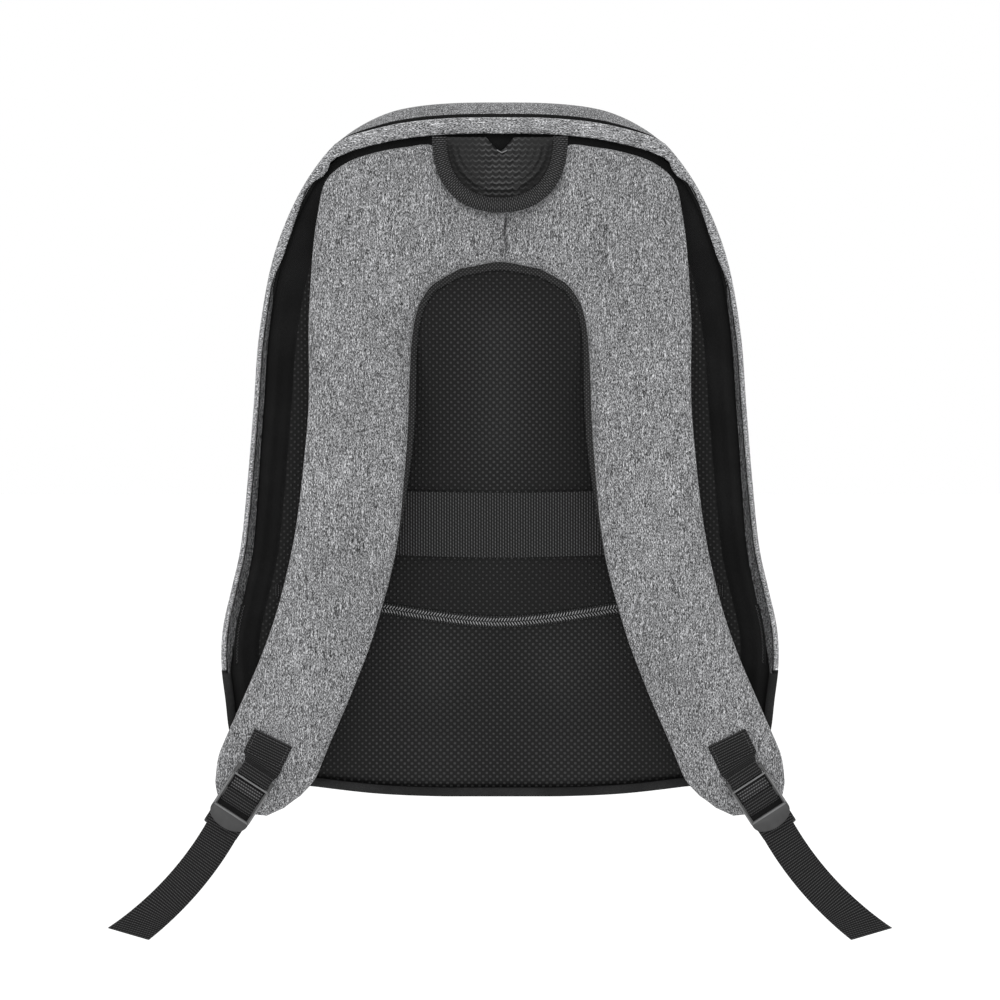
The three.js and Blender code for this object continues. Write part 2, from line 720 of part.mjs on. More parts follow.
function adjusterWebbing(turned) {
  const axes = lockAxes(turned);
  const under = -overBar - seamGap;
  const deep = under - webbingThickness - sewnGap;
  const end = strapAt(lockAtShare);
  const sewn = axes.origin.y + sewnGap + webbingThickness / 2;
  const behindPad = axes.origin.y - end.back;
  const b = adjusterBends;
  const path = [
    [-b.sewnFrom, sewn],
    [-b.sewnTo, sewn],
    [b.dips, mix(sewn, behindPad, backShares.dips)],
    [b.passes, mix(sewn, behindPad, backShares.passes)],
    [tabStart + b.below, mix(deep, behindPad, backShares.below)],
    [tabStart + b.lowest, mix(deep, behindPad, backShares.lowest)],
    [tabStart + b.returns, mix(deep, behindPad, backShares.returns)],
    [tabStart, deep],
    [slotStart, deep],
    [barStart, deep],
    [barStart - b.rounds, deep + windowRise],
    [barStart - b.rises, under / 2],
    [barStart - b.rises, halfRise],
    [barStart - b.enters, overBar - seamGap],
    [barStart + b.lands, overBar + restGap],
    [slotStart - b.leaves, overBar + restGap],
    [slotStart + b.falls, overBar / 2],
    [slotStart + b.sinks, -barGap],
    [slotStart + b.under, under + halfRise],
    [lowerBarStart + b.meets, under - restGap],
    [tabStart, under],
  ];
  const stations = bandStations(() => axes, path, () => webbingWidth, webbingThickness);
  const start = onLock(axes, tabStart, under);
  const radius = tailLength / (tailTilt.to - tailTilt.from);
  for (let step = 1; step <= tailSteps; step += 1) {
    const share = step / tailSteps;
    const turn = mix(tailTilt.from, tailTilt.to, share);
    const hem = share * tailLength > tailLength - hemLength ? 2 : 1;
    const centreX = radius * (Math.cos(tailTilt.from) - Math.cos(turn));
    const centreZ = -radius * (Math.sin(turn) - Math.sin(tailTilt.from));
    const along = new THREE.Vector3(turned * Math.sin(turn), 0, -Math.cos(turn));
    stations.push({
      middle: new THREE.Vector3(start.x + turned * centreX, start.y + tailLean * share * share, start.z + centreZ),
      across: new THREE.Vector3(turned * Math.cos(turn), 0, Math.sin(turn)),
      facing: axes.facing,
      width: webbingWidth,
      thickness: hem * webbingThickness,
      skew: along.multiplyScalar(tailSkew * smooth((share - skewFromShare) / (1 - skewFromShare))),
    });
  }
  return ribbon(stations);
}

shellPieces();
place(rearRim(), 'rear_rim', grey);
place(zipChannel(), 'zip_channel', black);
place(backPanel(), 'back_panel', mesh);
place(grabLoop(), 'grab_loop', black);
place(handleMesh(), 'handle_mesh', mesh);
place(luggageBand(), 'luggage_band', black);
place(pocketZip(), 'pocket_zip', black);
[['left', -1], ['right', 1]].forEach(([side, turned]) => {
  place(strapPad(turned), `${side}_strap_pad`, grey);
  place(strapLining(turned), `${side}_strap_lining`, mesh);
  place(sideZip(turned), `${side}_side_zip`, black);
  place(webbingPatch(turned), `${side}_webbing_patch`, black);
  place(ladderLock(turned), `${side}_ladder_lock`, plastic);
  place(adjusterWebbing(turned), `${side}_adjuster_webbing`, black);
});

export default backpack;
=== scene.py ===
import math

import bmesh
import bpy
import numpy as np
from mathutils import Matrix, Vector, kdtree, noise


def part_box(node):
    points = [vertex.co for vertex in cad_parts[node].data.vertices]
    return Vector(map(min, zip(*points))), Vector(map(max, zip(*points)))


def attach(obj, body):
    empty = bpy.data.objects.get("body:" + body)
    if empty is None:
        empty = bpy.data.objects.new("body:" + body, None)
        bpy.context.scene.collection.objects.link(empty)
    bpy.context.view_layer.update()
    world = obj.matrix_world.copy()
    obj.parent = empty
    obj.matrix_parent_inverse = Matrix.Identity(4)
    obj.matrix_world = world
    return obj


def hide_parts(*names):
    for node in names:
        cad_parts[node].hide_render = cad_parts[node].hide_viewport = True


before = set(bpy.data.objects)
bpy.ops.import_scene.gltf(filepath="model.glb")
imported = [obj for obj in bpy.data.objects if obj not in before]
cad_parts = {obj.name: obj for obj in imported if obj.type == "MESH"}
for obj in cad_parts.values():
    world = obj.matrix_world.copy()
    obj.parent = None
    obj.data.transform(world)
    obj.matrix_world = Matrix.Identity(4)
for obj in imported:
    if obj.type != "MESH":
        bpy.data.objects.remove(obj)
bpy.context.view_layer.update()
print("frame loaded")

# Sizes of the bag, read from the frame. The origin is the grab loop's seam.
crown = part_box("main_shell")[1].z
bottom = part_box("base_shell")[0].z
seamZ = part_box("base_shell")[1].z
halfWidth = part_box("main_shell")[1].x
height = crown - bottom
photo = {"side": 1000, "pixel": 0.0006475, "originY": 137}
cutGap = 0.0003  # between the shell, the rim and the base below them
sides = (("left", -1), ("right", 1))


def heightAt(down):
    return crown - down * height


def atRow(pixelRow):
    return (photo["originY"] - pixelRow) * photo["pixel"]


def smooth(share):
    # an even rise from 0 to 1
    s = np.clip(share, 0, 1)
    return s * s * (3 - 2 * s)


def bell(offset, wide):
    return math.exp(-((offset / wide) ** 2))


def mix(a, b, share):
    return a + (b - a) * share


# Curves

def curvePoint(points, t, closed=False, before=None):
    # a point of a centripetal curve through the points, t from 0 to 1
    count = len(points)
    place = t * (count if closed else count - 1)
    k = int(math.floor(place))
    if not closed:
        k = min(k, count - 2)
    w = place - k

    def at(i):
        if closed:
            return points[i % count]
        if i < 0:
            return 2 * points[0] - points[1] if before is None else before
        if i >= count:
            return 2 * points[-1] - points[-2]
        return points[i]

    p0, p1, p2, p3 = (at(k + i) for i in (-1, 0, 1, 2))
    d0, d1, d2 = (max(float(np.linalg.norm(b - a)), 1e-9) ** 0.5 for a, b in ((p0, p1), (p1, p2), (p2, p3)))
    m1 = ((p1 - p0) / d0 - (p2 - p0) / (d0 + d1) + (p2 - p1) / d1) * d1
    m2 = ((p2 - p1) / d1 - (p3 - p1) / (d1 + d2) + (p3 - p2) / d2) * d1
    w2, w3 = w * w, w * w * w
    return (2 * w3 - 3 * w2 + 1) * p1 + (w3 - 2 * w2 + w) * m1 + (3 * w2 - 2 * w3) * p2 + (w3 - w2) * m2


def evenPoints(dense, count, closed=False):
    # resamples a fine polyline at even spacing
    line = np.vstack([dense, dense[:1]]) if closed else dense
    reach = np.concatenate([[0], np.cumsum(np.linalg.norm(np.diff(line, axis=0), axis=1))])
    want = np.linspace(0, reach[-1], count + 1)[:-1] if closed else np.linspace(0, reach[-1], count)
    return np.stack([np.interp(want, reach, line[:, k]) for k in range(line.shape[1])], axis=1)


# Meshes

def newMesh(name, points, faces, runs=None):
    mesh = bpy.data.meshes.new(name)
    mesh.from_pydata([tuple(map(float, p)) for p in points], [], [tuple(f) for f in faces])
    if runs is not None:
        layer = mesh.attributes.new("run", "FLOAT_VECTOR", "POINT")
        layer.data.foreach_set("vector", np.asarray(runs, np.float32).ravel())
    build = bmesh.new()
    build.from_mesh(mesh)
    bmesh.ops.recalc_face_normals(build, faces=build.faces)
    build.to_mesh(mesh)
    build.free()
    return mesh


def addPiece(name, mesh, finishes, replaces=(), sharp=50):
    mesh.polygons.foreach_set("use_smooth", [True] * len(mesh.polygons))
    mesh.set_sharp_from_angle(angle=math.radians(sharp))
    piece = bpy.data.objects.new(name, mesh)
    bpy.context.scene.collection.objects.link(piece)
    for finish in finishes if isinstance(finishes, (list, tuple)) else [finishes]:
        mesh.materials.append(finish)
    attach(piece, "root")
    if replaces:
        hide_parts(*replaces)
    return piece


def addShape(name, shape, finishes, replaces=(), sharp=50):
    # a shape is points and faces, and the run of each point where it has one
    return addPiece(name, newMesh(name, *shape), finishes, replaces, sharp)


def unit(vector):
    return vector / np.linalg.norm(vector)


def forward(count):
    # as many directions towards the harness side
    return np.tile((0.0, -1.0, 0.0), (count, 1))


def unitRows(vectors):
    return vectors / np.linalg.norm(vectors, axis=1)[:, None]


def skinFaces(ringCount, size, first=0, endsMeet=False):
    faces = []
    for r in range(ringCount if endsMeet else ringCount - 1):
        near, far = first + r * size, first + ((r + 1) % ringCount) * size
        faces += [(near + k, far + k, far + (k + 1) % size, near + (k + 1) % size) for k in range(size)]
    return faces


def skin(rings, endsMeet=False):
    # points and faces of a closed body through rings of equally many points
    rings = [np.asarray(ring) for ring in rings]
    size = len(rings[0])
    points = np.concatenate(rings)
    faces = skinFaces(len(rings), size, 0, endsMeet)
    if not endsMeet:
        for start, ring in ((0, rings[0]), ((len(rings) - 1) * size, rings[-1])):
            points = np.vstack([points, ring.mean(0)])
            faces += [(len(points) - 1, start + k, start + (k + 1) % size) for k in range(size)]
    return points, faces


def joined(parts):
    points, faces, count = [], [], 0
    for partPoints, partFaces in parts:
        points.append(np.asarray(partPoints))
        faces += [tuple(i + count for i in f) for f in partFaces]
        count += len(partPoints)
    return np.concatenate(points), faces


def cutAt(mesh, z, keepAbove):
    # cuts a closed mesh with a level plane and closes the cut
    build = bmesh.new()
    build.from_mesh(mesh)
    geometry = build.verts[:] + build.edges[:] + build.faces[:]
    normal = (0, 0, -1) if keepAbove else (0, 0, 1)
    bmesh.ops.bisect_plane(build, geom=geometry, plane_co=(0, 0, z), plane_no=normal, clear_outer=True)
    border = [e for e in build.edges if e.is_boundary]
    bmesh.ops.triangle_fill(build, edges=border, use_beauty=True)
    bmesh.ops.recalc_face_normals(build, faces=build.faces)
    build.to_mesh(mesh)
    build.free()
    return mesh


def bead(centre, along, across, up, sizes):
    # a small rounded grain: an eight-sided body with two pointed ends
    length, width, rise = sizes
    ring = [(math.cos(a), math.sin(a)) for a in np.arange(6) * math.pi / 3]
    points = [centre - along * length / 2]
    for shift in (-0.28, 0.28):
        points += [centre + along * length * shift + across * c * width / 2 + up * s * rise / 2 for c, s in ring]
    points.append(centre + along * length / 2)
    faces = [(0, 1 + (k + 1) % 6, 1 + k) for k in range(6)]
    faces += [(1 + k, 1 + (k + 1) % 6, 7 + (k + 1) % 6, 7 + k) for k in range(6)]
    faces += [(13, 7 + k, 7 + (k + 1) % 6) for k in range(6)]
    return points, faces


def stitchRow(line, ups, thread):
    # one bead for each stitch along a line, with ups the surface's outward directions
    reach = float(np.linalg.norm(np.diff(line, axis=0), axis=1).sum())
    count = max(2, int(reach / (thread["length"] + thread["gap"])))
    spots = evenPoints(np.hstack([line, ups]), 2 * count + 1)
    parts = []
    for k in range(count):
        start, centre, end = (spots[2 * k + i][:3] for i in range(3))
        along = (end - start) / max(np.linalg.norm(end - start), 1e-9)
        up = unit(spots[2 * k + 1][3:])
        across = np.cross(up, along)
        parts.append(bead(centre, along, across, up, (thread["length"], thread["width"], thread["width"])))
    return joined(parts)


# Materials

class Wire:
    # a node's output: sums, differences and products of wires add their Math nodes

    def __init__(self, tree, socket=None):
        self.tree = tree
        self.socket = socket

    def node(self, kind, settings=None, values=None, output=0):
        made = self.tree.nodes.new(kind)
        for key, value in (settings or {}).items():
            if key == "stops":
                ramp = made.color_ramp
                while len(ramp.elements) < len(value):
                    ramp.elements.new(0.5)
                for element, (position, colour) in zip(ramp.elements, value):
                    element.position = position
                    element.color = (*colour, 1)
            else:
                setattr(made, key, value)
        for key, value in (values or {}).items():
            if isinstance(value, Wire):
                self.tree.links.new(value.socket, made.inputs[key])
            else:
                made.inputs[key].default_value = value
        return Wire(self.tree, made.outputs[output])

    def maths(self, operation, *values):
        return self.node("ShaderNodeMath", {"operation": operation}, dict(enumerate(values)))

    def __add__(self, other):
        return self.maths("ADD", self, other)

    __radd__ = __add__

    def __sub__(self, other):
        return self.maths("SUBTRACT", self, other)

    def __rsub__(self, other):
        return self.maths("SUBTRACT", other, self)

    def __mul__(self, other):
        return self.maths("MULTIPLY", self, other)

    __rmul__ = __mul__

    def sine(self):
        return self.maths("SINE", self)

    def step(self, low, high):
        return self.node(
            "ShaderNodeMapRange",
            {"interpolation_type": "SMOOTHSTEP"},
            {"Value": self, "From Min": low, "From Max": high},
        )

    def stretch(self, x, y, z):
        return self.node("ShaderNodeVectorMath", {"operation": "MULTIPLY"}, {0: self, 1: (x, y, z)})

    def part(self, axis):
        return self.node("ShaderNodeSeparateXYZ", None, {0: self}, "XYZ".index(axis))

    def grain(self, scale, detail=2.0, roughness=0.5):
        values = {"Vector": self, "Scale": scale, "Detail": detail, "Roughness": roughness}
        return self.node("ShaderNodeTexNoise", {"noise_dimensions": "3D"}, values)

    def colours(self, *stops):
        return self.node("ShaderNodeValToRGB", {"stops": stops}, {0: self})

    def blend(self, share, other, kind="MIX"):
        return self.node(
            "ShaderNodeMix", {"data_type": "RGBA", "blend_type": kind}, {0: share, 6: self, 7: other}, 2
        )


def grey(value):
    return (value, value * 1.005, value * 1.02)


def newFinish(name, constants):
    material = bpy.data.materials.new(name)
    material.use_nodes = True
    tree = material.node_tree
    shader = tree.nodes["Principled BSDF"]
    for key, value in constants.items():
        shader.inputs[key].default_value = value
    start = Wire(tree)

    def put(key, wire):
        tree.links.new(wire.socket, shader.inputs[key])

    def relief(heightWire, distance, strength=1.0, under=None):
        values = {"Height": heightWire, "Distance": distance, "Strength": strength}
        if under is not None:
            values["Normal"] = under
        return start.node("ShaderNodeBump", None, values)

    return material, start, put, relief


def places(start):
    return start.node("ShaderNodeTexCoord", None, None, "Object")


def runs(start):
    return start.node("ShaderNodeAttribute", {"attribute_name": "run"}, None, "Vector")


heather = {
    "fleckAcross": 2400.0,
    "fleckAlong": 700.0,
    "fineAcross": 3600.0,
    "fineAlong": 2400.0,
    "yarn": 5200.0,
    "streakAcross": 1500.0,
    "streakAlong": 90.0,
    "dark": 0.008,
    "low": 0.05,
    "mid": 0.17,
    "high": 0.34,
    "light": 0.8,
}


def makeHeather(name, lift=1.0, turned=False):
    look = {"Roughness": 0.9, "Sheen Weight": 0.1, "Sheen Roughness": 0.5, "Specular IOR Level": 0.15}
    material, start, put, relief = newFinish(name, look)
    h = heather
    base = places(start)
    across, along = (h["fleckAlong"], h["fleckAcross"]) if turned else (h["fleckAcross"], h["fleckAlong"])
    flecks = base.stretch(across, 700, along).grain(1.0, 2.5, 0.6)
    crossing = base.stretch(along, 700, across).grain(1.3, 1.5, 0.5)
    fine = base.stretch(h["fineAcross"], 2000, h["fineAlong"]).grain(1.0, 2.0, 0.7)
    wide = base.stretch(1, 1, 0.6).grain(26.0, 2.0)
    long, short = (h["streakAcross"], h["streakAlong"]) if not turned else (h["streakAlong"], h["streakAcross"])
    streaks = base.stretch(long, 700, short).grain(1.0, 1.0)
    tone = flecks * 0.52 + crossing * 0.1 + fine * 0.26 + streaks * 0.12
    shade = tone.colours(
        (0.395, grey(h["dark"] * lift)),
        (0.455, grey(h["low"] * lift)),
        (0.5, grey(h["mid"] * lift)),
        (0.545, grey(h["high"] * lift)),
        (0.615, grey(h["light"] * lift)),
    )
    put("Base Color", shade.blend(0.5, wide.colours((0.3, grey(0.75)), (0.7, grey(1.15))), "MULTIPLY"))
    warp = (base.part("X") * h["yarn"]).sine() * (base.part("Z") * h["yarn"]).sine()
    weave = warp * 0.5 + fine * 0.8 + flecks * 0.5
    put("Normal", relief(weave, 0.0003, 0.55))
    put("Roughness", 0.98 - fine * 0.2)
    return material


def makePlainBlack(name, base=0.006, rough=0.85, yarn=4200.0):
    material, start, put, relief = newFinish(name, {"Roughness": rough, "Specular IOR Level": 0.12})
    spot = places(start)
    fine = spot.stretch(2400, 2400, 2400).grain(1.0, 2.0)
    wide = spot.grain(30.0, 2.0)
    shade = (fine * 0.6 + wide * 0.4).colours((0.3, grey(base * 0.5)), (0.5, grey(base)), (0.72, grey(base * 2.4)))
    put("Base Color", shade)
    weave = (spot.part("X") * yarn).sine() * (spot.part("Z") * yarn).sine()
    put("Normal", relief(weave * 0.6 + fine * 0.4, 0.00025, 0.6))
    put("Roughness", rough + 0.1 - fine * 0.2)
    return material


meshLook = {"across": 0.0046, "rows": 0.0043, "base": 0.0032, "hole": 0.0015, "thread": 0.017}


# where the painted highlights on the back panel mesh lie
highlightSpots = {"wide": 0.026, "fadesFrom": (520, 430), "fadesTo": (330, 270), "lowAt": 0.041, "lowWide": 0.034,
         "lowFrom": (660, 600), "lowShare": 0.8}


def lobe(x, middle, wide):
    away = (x - middle) * (1 / wide)
    fall = away * away * -1.0
    return fall.maths("EXPONENT", fall)


def paintedHighlight(spot):
    # painted highlight: the mesh is coloured lighter down the middle of the upper panel and in two lobes low down,
    # where the front lamp's highlights fall
    x, z = spot.part("X"), spot.part("Z")
    t = highlightSpots
    rising, falling, low = ([atRow(row) for row in t[key]] for key in ("fadesFrom", "fadesTo", "lowFrom"))
    upper = lobe(x, 0.0, t["wide"]) * z.step(*rising) * (1 - z.step(*falling))
    lower = (lobe(x, -t["lowAt"], t["lowWide"]) + lobe(x, t["lowAt"], t["lowWide"])) * (1 - z.step(*low))
    return upper + lower * t["lowShare"]


def makeAirMesh(name, scale=1.0, lift=1.0, gloss=0.16, arched=0.0, glow=False):
    # staggered rows of holes between glossy threads
    material, start, put, relief = newFinish(name, {"Roughness": 0.6, "Specular IOR Level": gloss})
    m = meshLook
    spot = places(start)
    drift = spot.grain(45.0, 1.0)
    x = (spot.part("X") + drift * 0.0012) * (2 * math.pi / (m["across"] * scale))
    z = (spot.part("Z") + drift * 0.0014) * (2 * math.pi / (m["rows"] * scale))
    patchy = spot.stretch(700, 700, 1500).grain(1.0, 2.0)
    knots = (x.sine() * z.sine()).step(0.1, 0.8)
    if arched:
        waves = (x * 0.62).sine()
        bold = 0.45 + lobe(spot.part("X"), 0.0, 0.014) * 0.75
        knots = (z * arched + waves.maths("ABSOLUTE", waves) * 2.6 + patchy * 2.4).sine().step(-0.1, 0.95) * bold
    fine = spot.stretch(2600, 2600, 2600).grain(1.0, 2.0)
    threads = knots * (0.25 + patchy * 0.9) * 0.8 + fine * 0.35
    if glow:
        # painted highlight: the threads are coloured lighter in the highlight spots
        threads = threads * (0.92 + paintedHighlight(spot) * 1.5)
    shade = threads.colours(
        (0.12, grey(m["hole"])), (0.4, grey(m["base"] * lift)), (0.85, grey(m["thread"] * lift * 1.5))
    )
    put("Base Color", shade)
    put("Normal", relief(knots * 0.8 + fine * 0.3, 0.0005, 0.45))
    put("Roughness", 0.54 - knots * 0.24)
    return material


def makeWebbing(name, base=0.014, pitch=0.0013, cross=0.0028, lift=1.0):
    # ribs run across the band; run holds metres across and along it
    material, start, put, relief = newFinish(name, {"Roughness": 0.7, "Specular IOR Level": 0.22})
    lay = runs(start)
    across = lay.part("X") * (2 * math.pi / cross)
    along = lay.part("Y") * (2 * math.pi / pitch)
    fine = lay.stretch(2500, 2500, 2500).grain(1.0, 2.0)
    ribs = along.sine().step(-0.3, 0.9)
    dots = (across + along * 0.5).sine() * 0.5 + 0.5
    patchy = lay.stretch(900, 420, 900).grain(1.0, 2.0)
    tone = ribs * (0.3 + dots * 0.7) * (0.35 + patchy * 0.9) * 0.8 + fine * 0.42
    put("Base Color", tone.colours(
        (0.15, grey(base * 0.4)), (0.42, grey(base * lift)), (0.85, grey(base * 6.0 * lift))
    ))
    put("Normal", relief(ribs * 0.6 + dots * 0.25 + fine * 0.15, 0.0004, 0.8))
    put("Roughness", 0.85 - ribs * 0.3)
    return material


def makePlastic(name, base, rough):
    material, start, put, relief = newFinish(name, {"Roughness": rough, "Specular IOR Level": 0.5})
    spot = places(start)
    fine = spot.grain(2600.0, 2.0)
    wide = spot.grain(160.0, 2.0)
    put("Base Color", wide.colours((0.3, grey(base * 0.8)), (0.7, grey(base * 1.25))))
    put("Roughness", rough - 0.06 + wide * 0.16)
    put("Normal", relief(fine, 0.00008, 0.35))
    return material


def makeThread(name, base):
    material, start, put, relief = newFinish(name, {"Roughness": 0.6, "Sheen Weight": 0.3})
    twist = places(start).grain(3200.0, 1.0)
    put("Base Color", twist.colours((0.3, grey(base * 0.6)), (0.7, grey(base * 1.4))))
    put("Normal", relief(twist, 0.0001, 0.5))
    return material


greyCloth = makeHeather("greyHeather")
rimCloth = makeHeather("greyHeatherRim", 1.3, True)
# a darkened copy of the heather, painted shade for the rim's turned edge
shadedFlapCloth = makeHeather("greyHeatherFlapShaded", 0.3)
shellGrey = makeHeather("greyHeatherShell", 0.88)
blackCloth = makePlainBlack("blackCloth")
baseCloth = makePlainBlack("blackBaseCloth", 0.016, 0.8, 3600.0)
# the back panel's mesh carries painted highlights
airMesh = makeAirMesh("blackAirMesh", glow=True)
handleAirMesh = makeAirMesh("blackHandleMesh", 1.15, 2.2, 0.3, 1.4)
liningMesh = makeAirMesh("blackLiningMesh", 0.55, 2.6, 0.25)
webbing = makeWebbing("blackWebbing", 0.009, 0.0017, 0.0013)
loopWebbing = makeWebbing("blackLoopWebbing", 0.016, 0.0015, 0.0024)
bandWebbing = makeWebbing("blackBandElastic", 0.010, 0.0017, 0.0023, 1.35)
# a lighter copy of the adjuster webbing, painted light on the ribs seen in the lock's window
litWindowWebbing = makeWebbing("blackWindowWebbingLit", 0.016, 0.0019, 0.0017, 1.5)
lockPlastic = makePlastic("blackLockPlastic", 0.024, 0.36)
zipPlastic = makePlastic("blackZipPlastic", 0.24, 0.3)
# a light grey plastic that paints the highlight along the ladder lock's edges
edgeHighlightPlastic = makePlastic("greyEdgePaintedHighlight", 0.1, 0.3)
sideZipPlastic = makePlastic("greyZipPlastic", 0.07, 0.4)
blackThread = makeThread("blackThread", 0.03)
greyThread = makeThread("greyThread", 0.16)
print("materials made")


# Outline of the bag

outline = {
    "side": [0, 0.17, 0.305, 0.395, 0.495, 0.585, 0.7, 0.804, 0.861, 0.884, 0.908, 0.932, 0.964, 0.994, 1,
             0.985, 0.968, 0.928, 0.83, 0.66],
    "down": [0, 0.001, 0.006, 0.014, 0.032, 0.058, 0.118, 0.213, 0.328, 0.443, 0.558, 0.645, 0.702, 0.757,
             0.806, 0.86, 0.912, 0.955, 0.977, 0.986],
    "flat": 0.199,
    "stations": 260,
    "rearDrop": 0.010,
    "dropEnds": 0.066,
}


def outlineLine():
    sides = outline["side"] + [2.2 * outline["flat"], outline["flat"]]
    downs = outline["down"] + [0.996, 1]
    right = np.array([(s * halfWidth, heightAt(d)) for s, d in zip(sides, downs)])
    left = right[1:][::-1] * (-1, 1)
    points = np.vstack([right, left])
    dense = np.array([curvePoint(points, t, True) for t in np.linspace(0, 1, 1200, endpoint=False)])
    line = evenPoints(dense, outline["stations"], True)
    line[:, 1] = np.maximum(line[:, 1], bottom)
    return line


def outwardOf(line):
    along = np.roll(line, -1, axis=0) - np.roll(line, 1, axis=0)
    along = unitRows(along)
    side = np.stack([along[:, 1], -along[:, 0]], axis=1)
    centre = np.array((0, (crown + bottom) / 2))
    flip = np.sign(((line - centre) * side).sum(1))
    return side * flip[:, None]


def upright(flat, y):
    # points in the plane of the outline, at a depth or at one for each
    return np.stack([flat[:, 0], np.broadcast_to(y, len(flat)), flat[:, 1]], axis=1)


shellLine = outlineLine()
shellOut = outwardOf(shellLine)
downOf = (crown - shellLine[:, 1]) / height
rearLine = shellLine.copy()
rearLine[:, 1] -= outline["rearDrop"] * (1 - smooth(downOf / outline["dropEnds"]))
rearOut = outwardOf(rearLine)
rearDown = (crown - rearLine[:, 1]) / height

rim = {
    "depth": 0.027,
    "channel": 0.036,
    "wallDepth": 0.058,
    "wall": 0.002,
    "proud": 0.0025,
    "lipRows": [118, 135, 147, 154, 161, 168, 178, 188, 202, 230, 255, 272, 283, 300, 560, 640, 690],
    "lipWide": [10.6, 9.8, 8.6, 5.2, 7.4, 8.4, 4.6, 2.6, 4.6, 6.2, 6.2, 4.4, 3, 3.4, 3.4, 3.6, 3.4],
}


def wallPoints(inset, y):
    # points of the whole outline at a depth, set in by a distance or by one for each station
    share = smooth((y - rim["depth"]) / (rim["wallDepth"] - rim["depth"]))
    line = mix(rearLine, shellLine, share)
    out = unitRows(mix(rearOut, shellOut, share))
    return upright(line - out * np.reshape(inset, (-1, 1)), y)


rearRows = photo["originY"] - rearLine[:, 1] / photo["pixel"]
lip = np.interp(rearRows, rim["lipRows"], rim["lipWide"]) / 1000


# Shell and base

shell = {
    "depth": 0.15,
    "wall": 0.003,
    "walls": (0, 0.02, 0.08, 0.2, 0.4, 0.6, 0.8, 1),
    "softEdge": 0.0007,
    "crownDepth": 0.55,
    "baseDepth": 0.94,
    "deepestAt": 0.75,
    "power": 6,
    "blend": 0.6,
    "towards": 0.7,
    "rings": [0.997, 0.99, 0.98, 0.965, 0.945, 0.92, 0.89, 0.855, 0.81, 0.76, 0.7, 0.62, 0.52, 0.4, 0.26, 0.12],
    "puff": 0.0011,
    "panelSeam": 0.89,
    "groove": 0.0012,
    "grooveWide": 0.02,
}


def depthAt(z):
    down = (crown - z) / height
    top = (1 - shell["crownDepth"]) * ((shell["deepestAt"] - down) / shell["deepestAt"]) ** 2
    low = (1 - shell["baseDepth"]) * ((down - shell["deepestAt"]) / (1 - shell["deepestAt"])) ** 2
    return shell["depth"] * (1 - np.where(down < shell["deepestAt"], top, low))


def frontRing(inset, reach):
    centre = heightAt(shell["towards"])
    start = shellLine - shellOut * inset
    z = centre + (start[:, 1] - centre) * reach
    share = (1 - reach ** shell["power"]) ** shell["blend"]
    return np.stack([start[:, 0] * reach, mix(rim["wallDepth"], depthAt(z) - inset, share), z], axis=1)


def makeShell(name, startY, keepAbove, cutZ, finish, replaces):
    walls = [startY + (rim["wallDepth"] - startY) * w for w in shell["walls"]]
    outer, inner = [], []
    for y in walls:
        edge = shell["softEdge"] if y == startY and keepAbove else 0
        outer.append(wallPoints(edge, y))
        inner.append(wallPoints(shell["wall"] - edge, y))
    for reach in shell["rings"]:
        outer.append(frontRing(0, reach))
    for reach in shell["rings"][1::2]:
        inner.append(frontRing(shell["wall"], reach))
    for k, ring in enumerate(outer[len(walls):]):
        near = bell(shell["rings"][k] - shell["panelSeam"], shell["grooveWide"])
        for p in ring:
            p[1] += noise.noise(Vector((p[0] * 14, p[1] * 14, p[2] * 9))) * shell["puff"] - near * shell["groove"]
    mesh = cutAt(newMesh(name, *skin(outer[::-1] + inner)), cutZ, keepAbove)
    return addPiece(name, mesh, finish, replaces, 60)


makeShell("shellCloth", rim["channel"] + 0.0003, True, seamZ + cutGap, shellGrey, ["main_shell"])
makeShell("baseCloth", 0, False, seamZ, baseCloth, ["base_shell"])
print("shell made")


# Rim, zip channel and their zip

def aroundOutline(sections):
    # a closed ring around the outline, from one line of stations for each point of its section
    return skin(list(np.stack(sections, axis=1)), True)


fold = {"height": 0.0016, "spread": 0.006, "ripple": 0.0006,
        "places": [(-0.1035, atRow(150)), (0.1035, atRow(150))]}


def rimWave():
    # small gathers along the rim, strongest where it bends
    wave = np.zeros(len(rearLine))
    for k, (x, z) in enumerate(rearLine):
        wave[k] = noise.noise(Vector((x * 60, z * 60, 3.1))) * fold["ripple"]
        for foldX, foldZ in fold["places"]:
            wave[k] += fold["height"] * bell(math.hypot(x - foldX, z - foldZ), fold["spread"])
    return wave


def makeRim():
    wave = rimWave()
    wall, proud, deep = rim["wall"], rim["proud"], rim["depth"]
    bend = np.minimum(0.0022, lip * 0.6)
    rows = [
        (0.0004, deep), (0, deep - 0.001), (-wave * 0.4, 0.017), (0, 0.007), (0.0001, 0.002),
        (bend * 0.15, 0), (bend * 0.5, -0.0015), (bend, -proud),
        (mix(bend, lip, 0.35), -proud - 0.0006), (mix(bend, lip, 0.7), -proud - 0.0004),
        (lip - 0.0004, -proud + 0.0002), (lip, -proud + 0.0009), (lip - 0.0003, wall - proud - 0.0001),
        (mix(bend, lip, 0.5), wall - proud), (wall, wall - proud + 0.0003), (wall, deep - 0.0006),
    ]
    sections = []
    for k, (inset, y) in enumerate(rows):
        ring = wallPoints(inset, y)
        if 6 <= k <= 11:
            ring[:, 1] -= wave
        sections.append(ring)
    mesh = cutAt(newMesh("rimCloth", *aroundOutline(sections)), seamZ + cutGap, True)
    addPiece("rimCloth", mesh, rimCloth, ["rear_rim"], 60)


flap = {
    "rows": [284, 300, 350, 450, 550, 600, 640, 682],
    "wide": [0.6, 2, 2.6, 2.8, 4.4, 5.2, 4.6, 0.6],
    "thick": 0.0007,
    "gap": 0.0006,
}


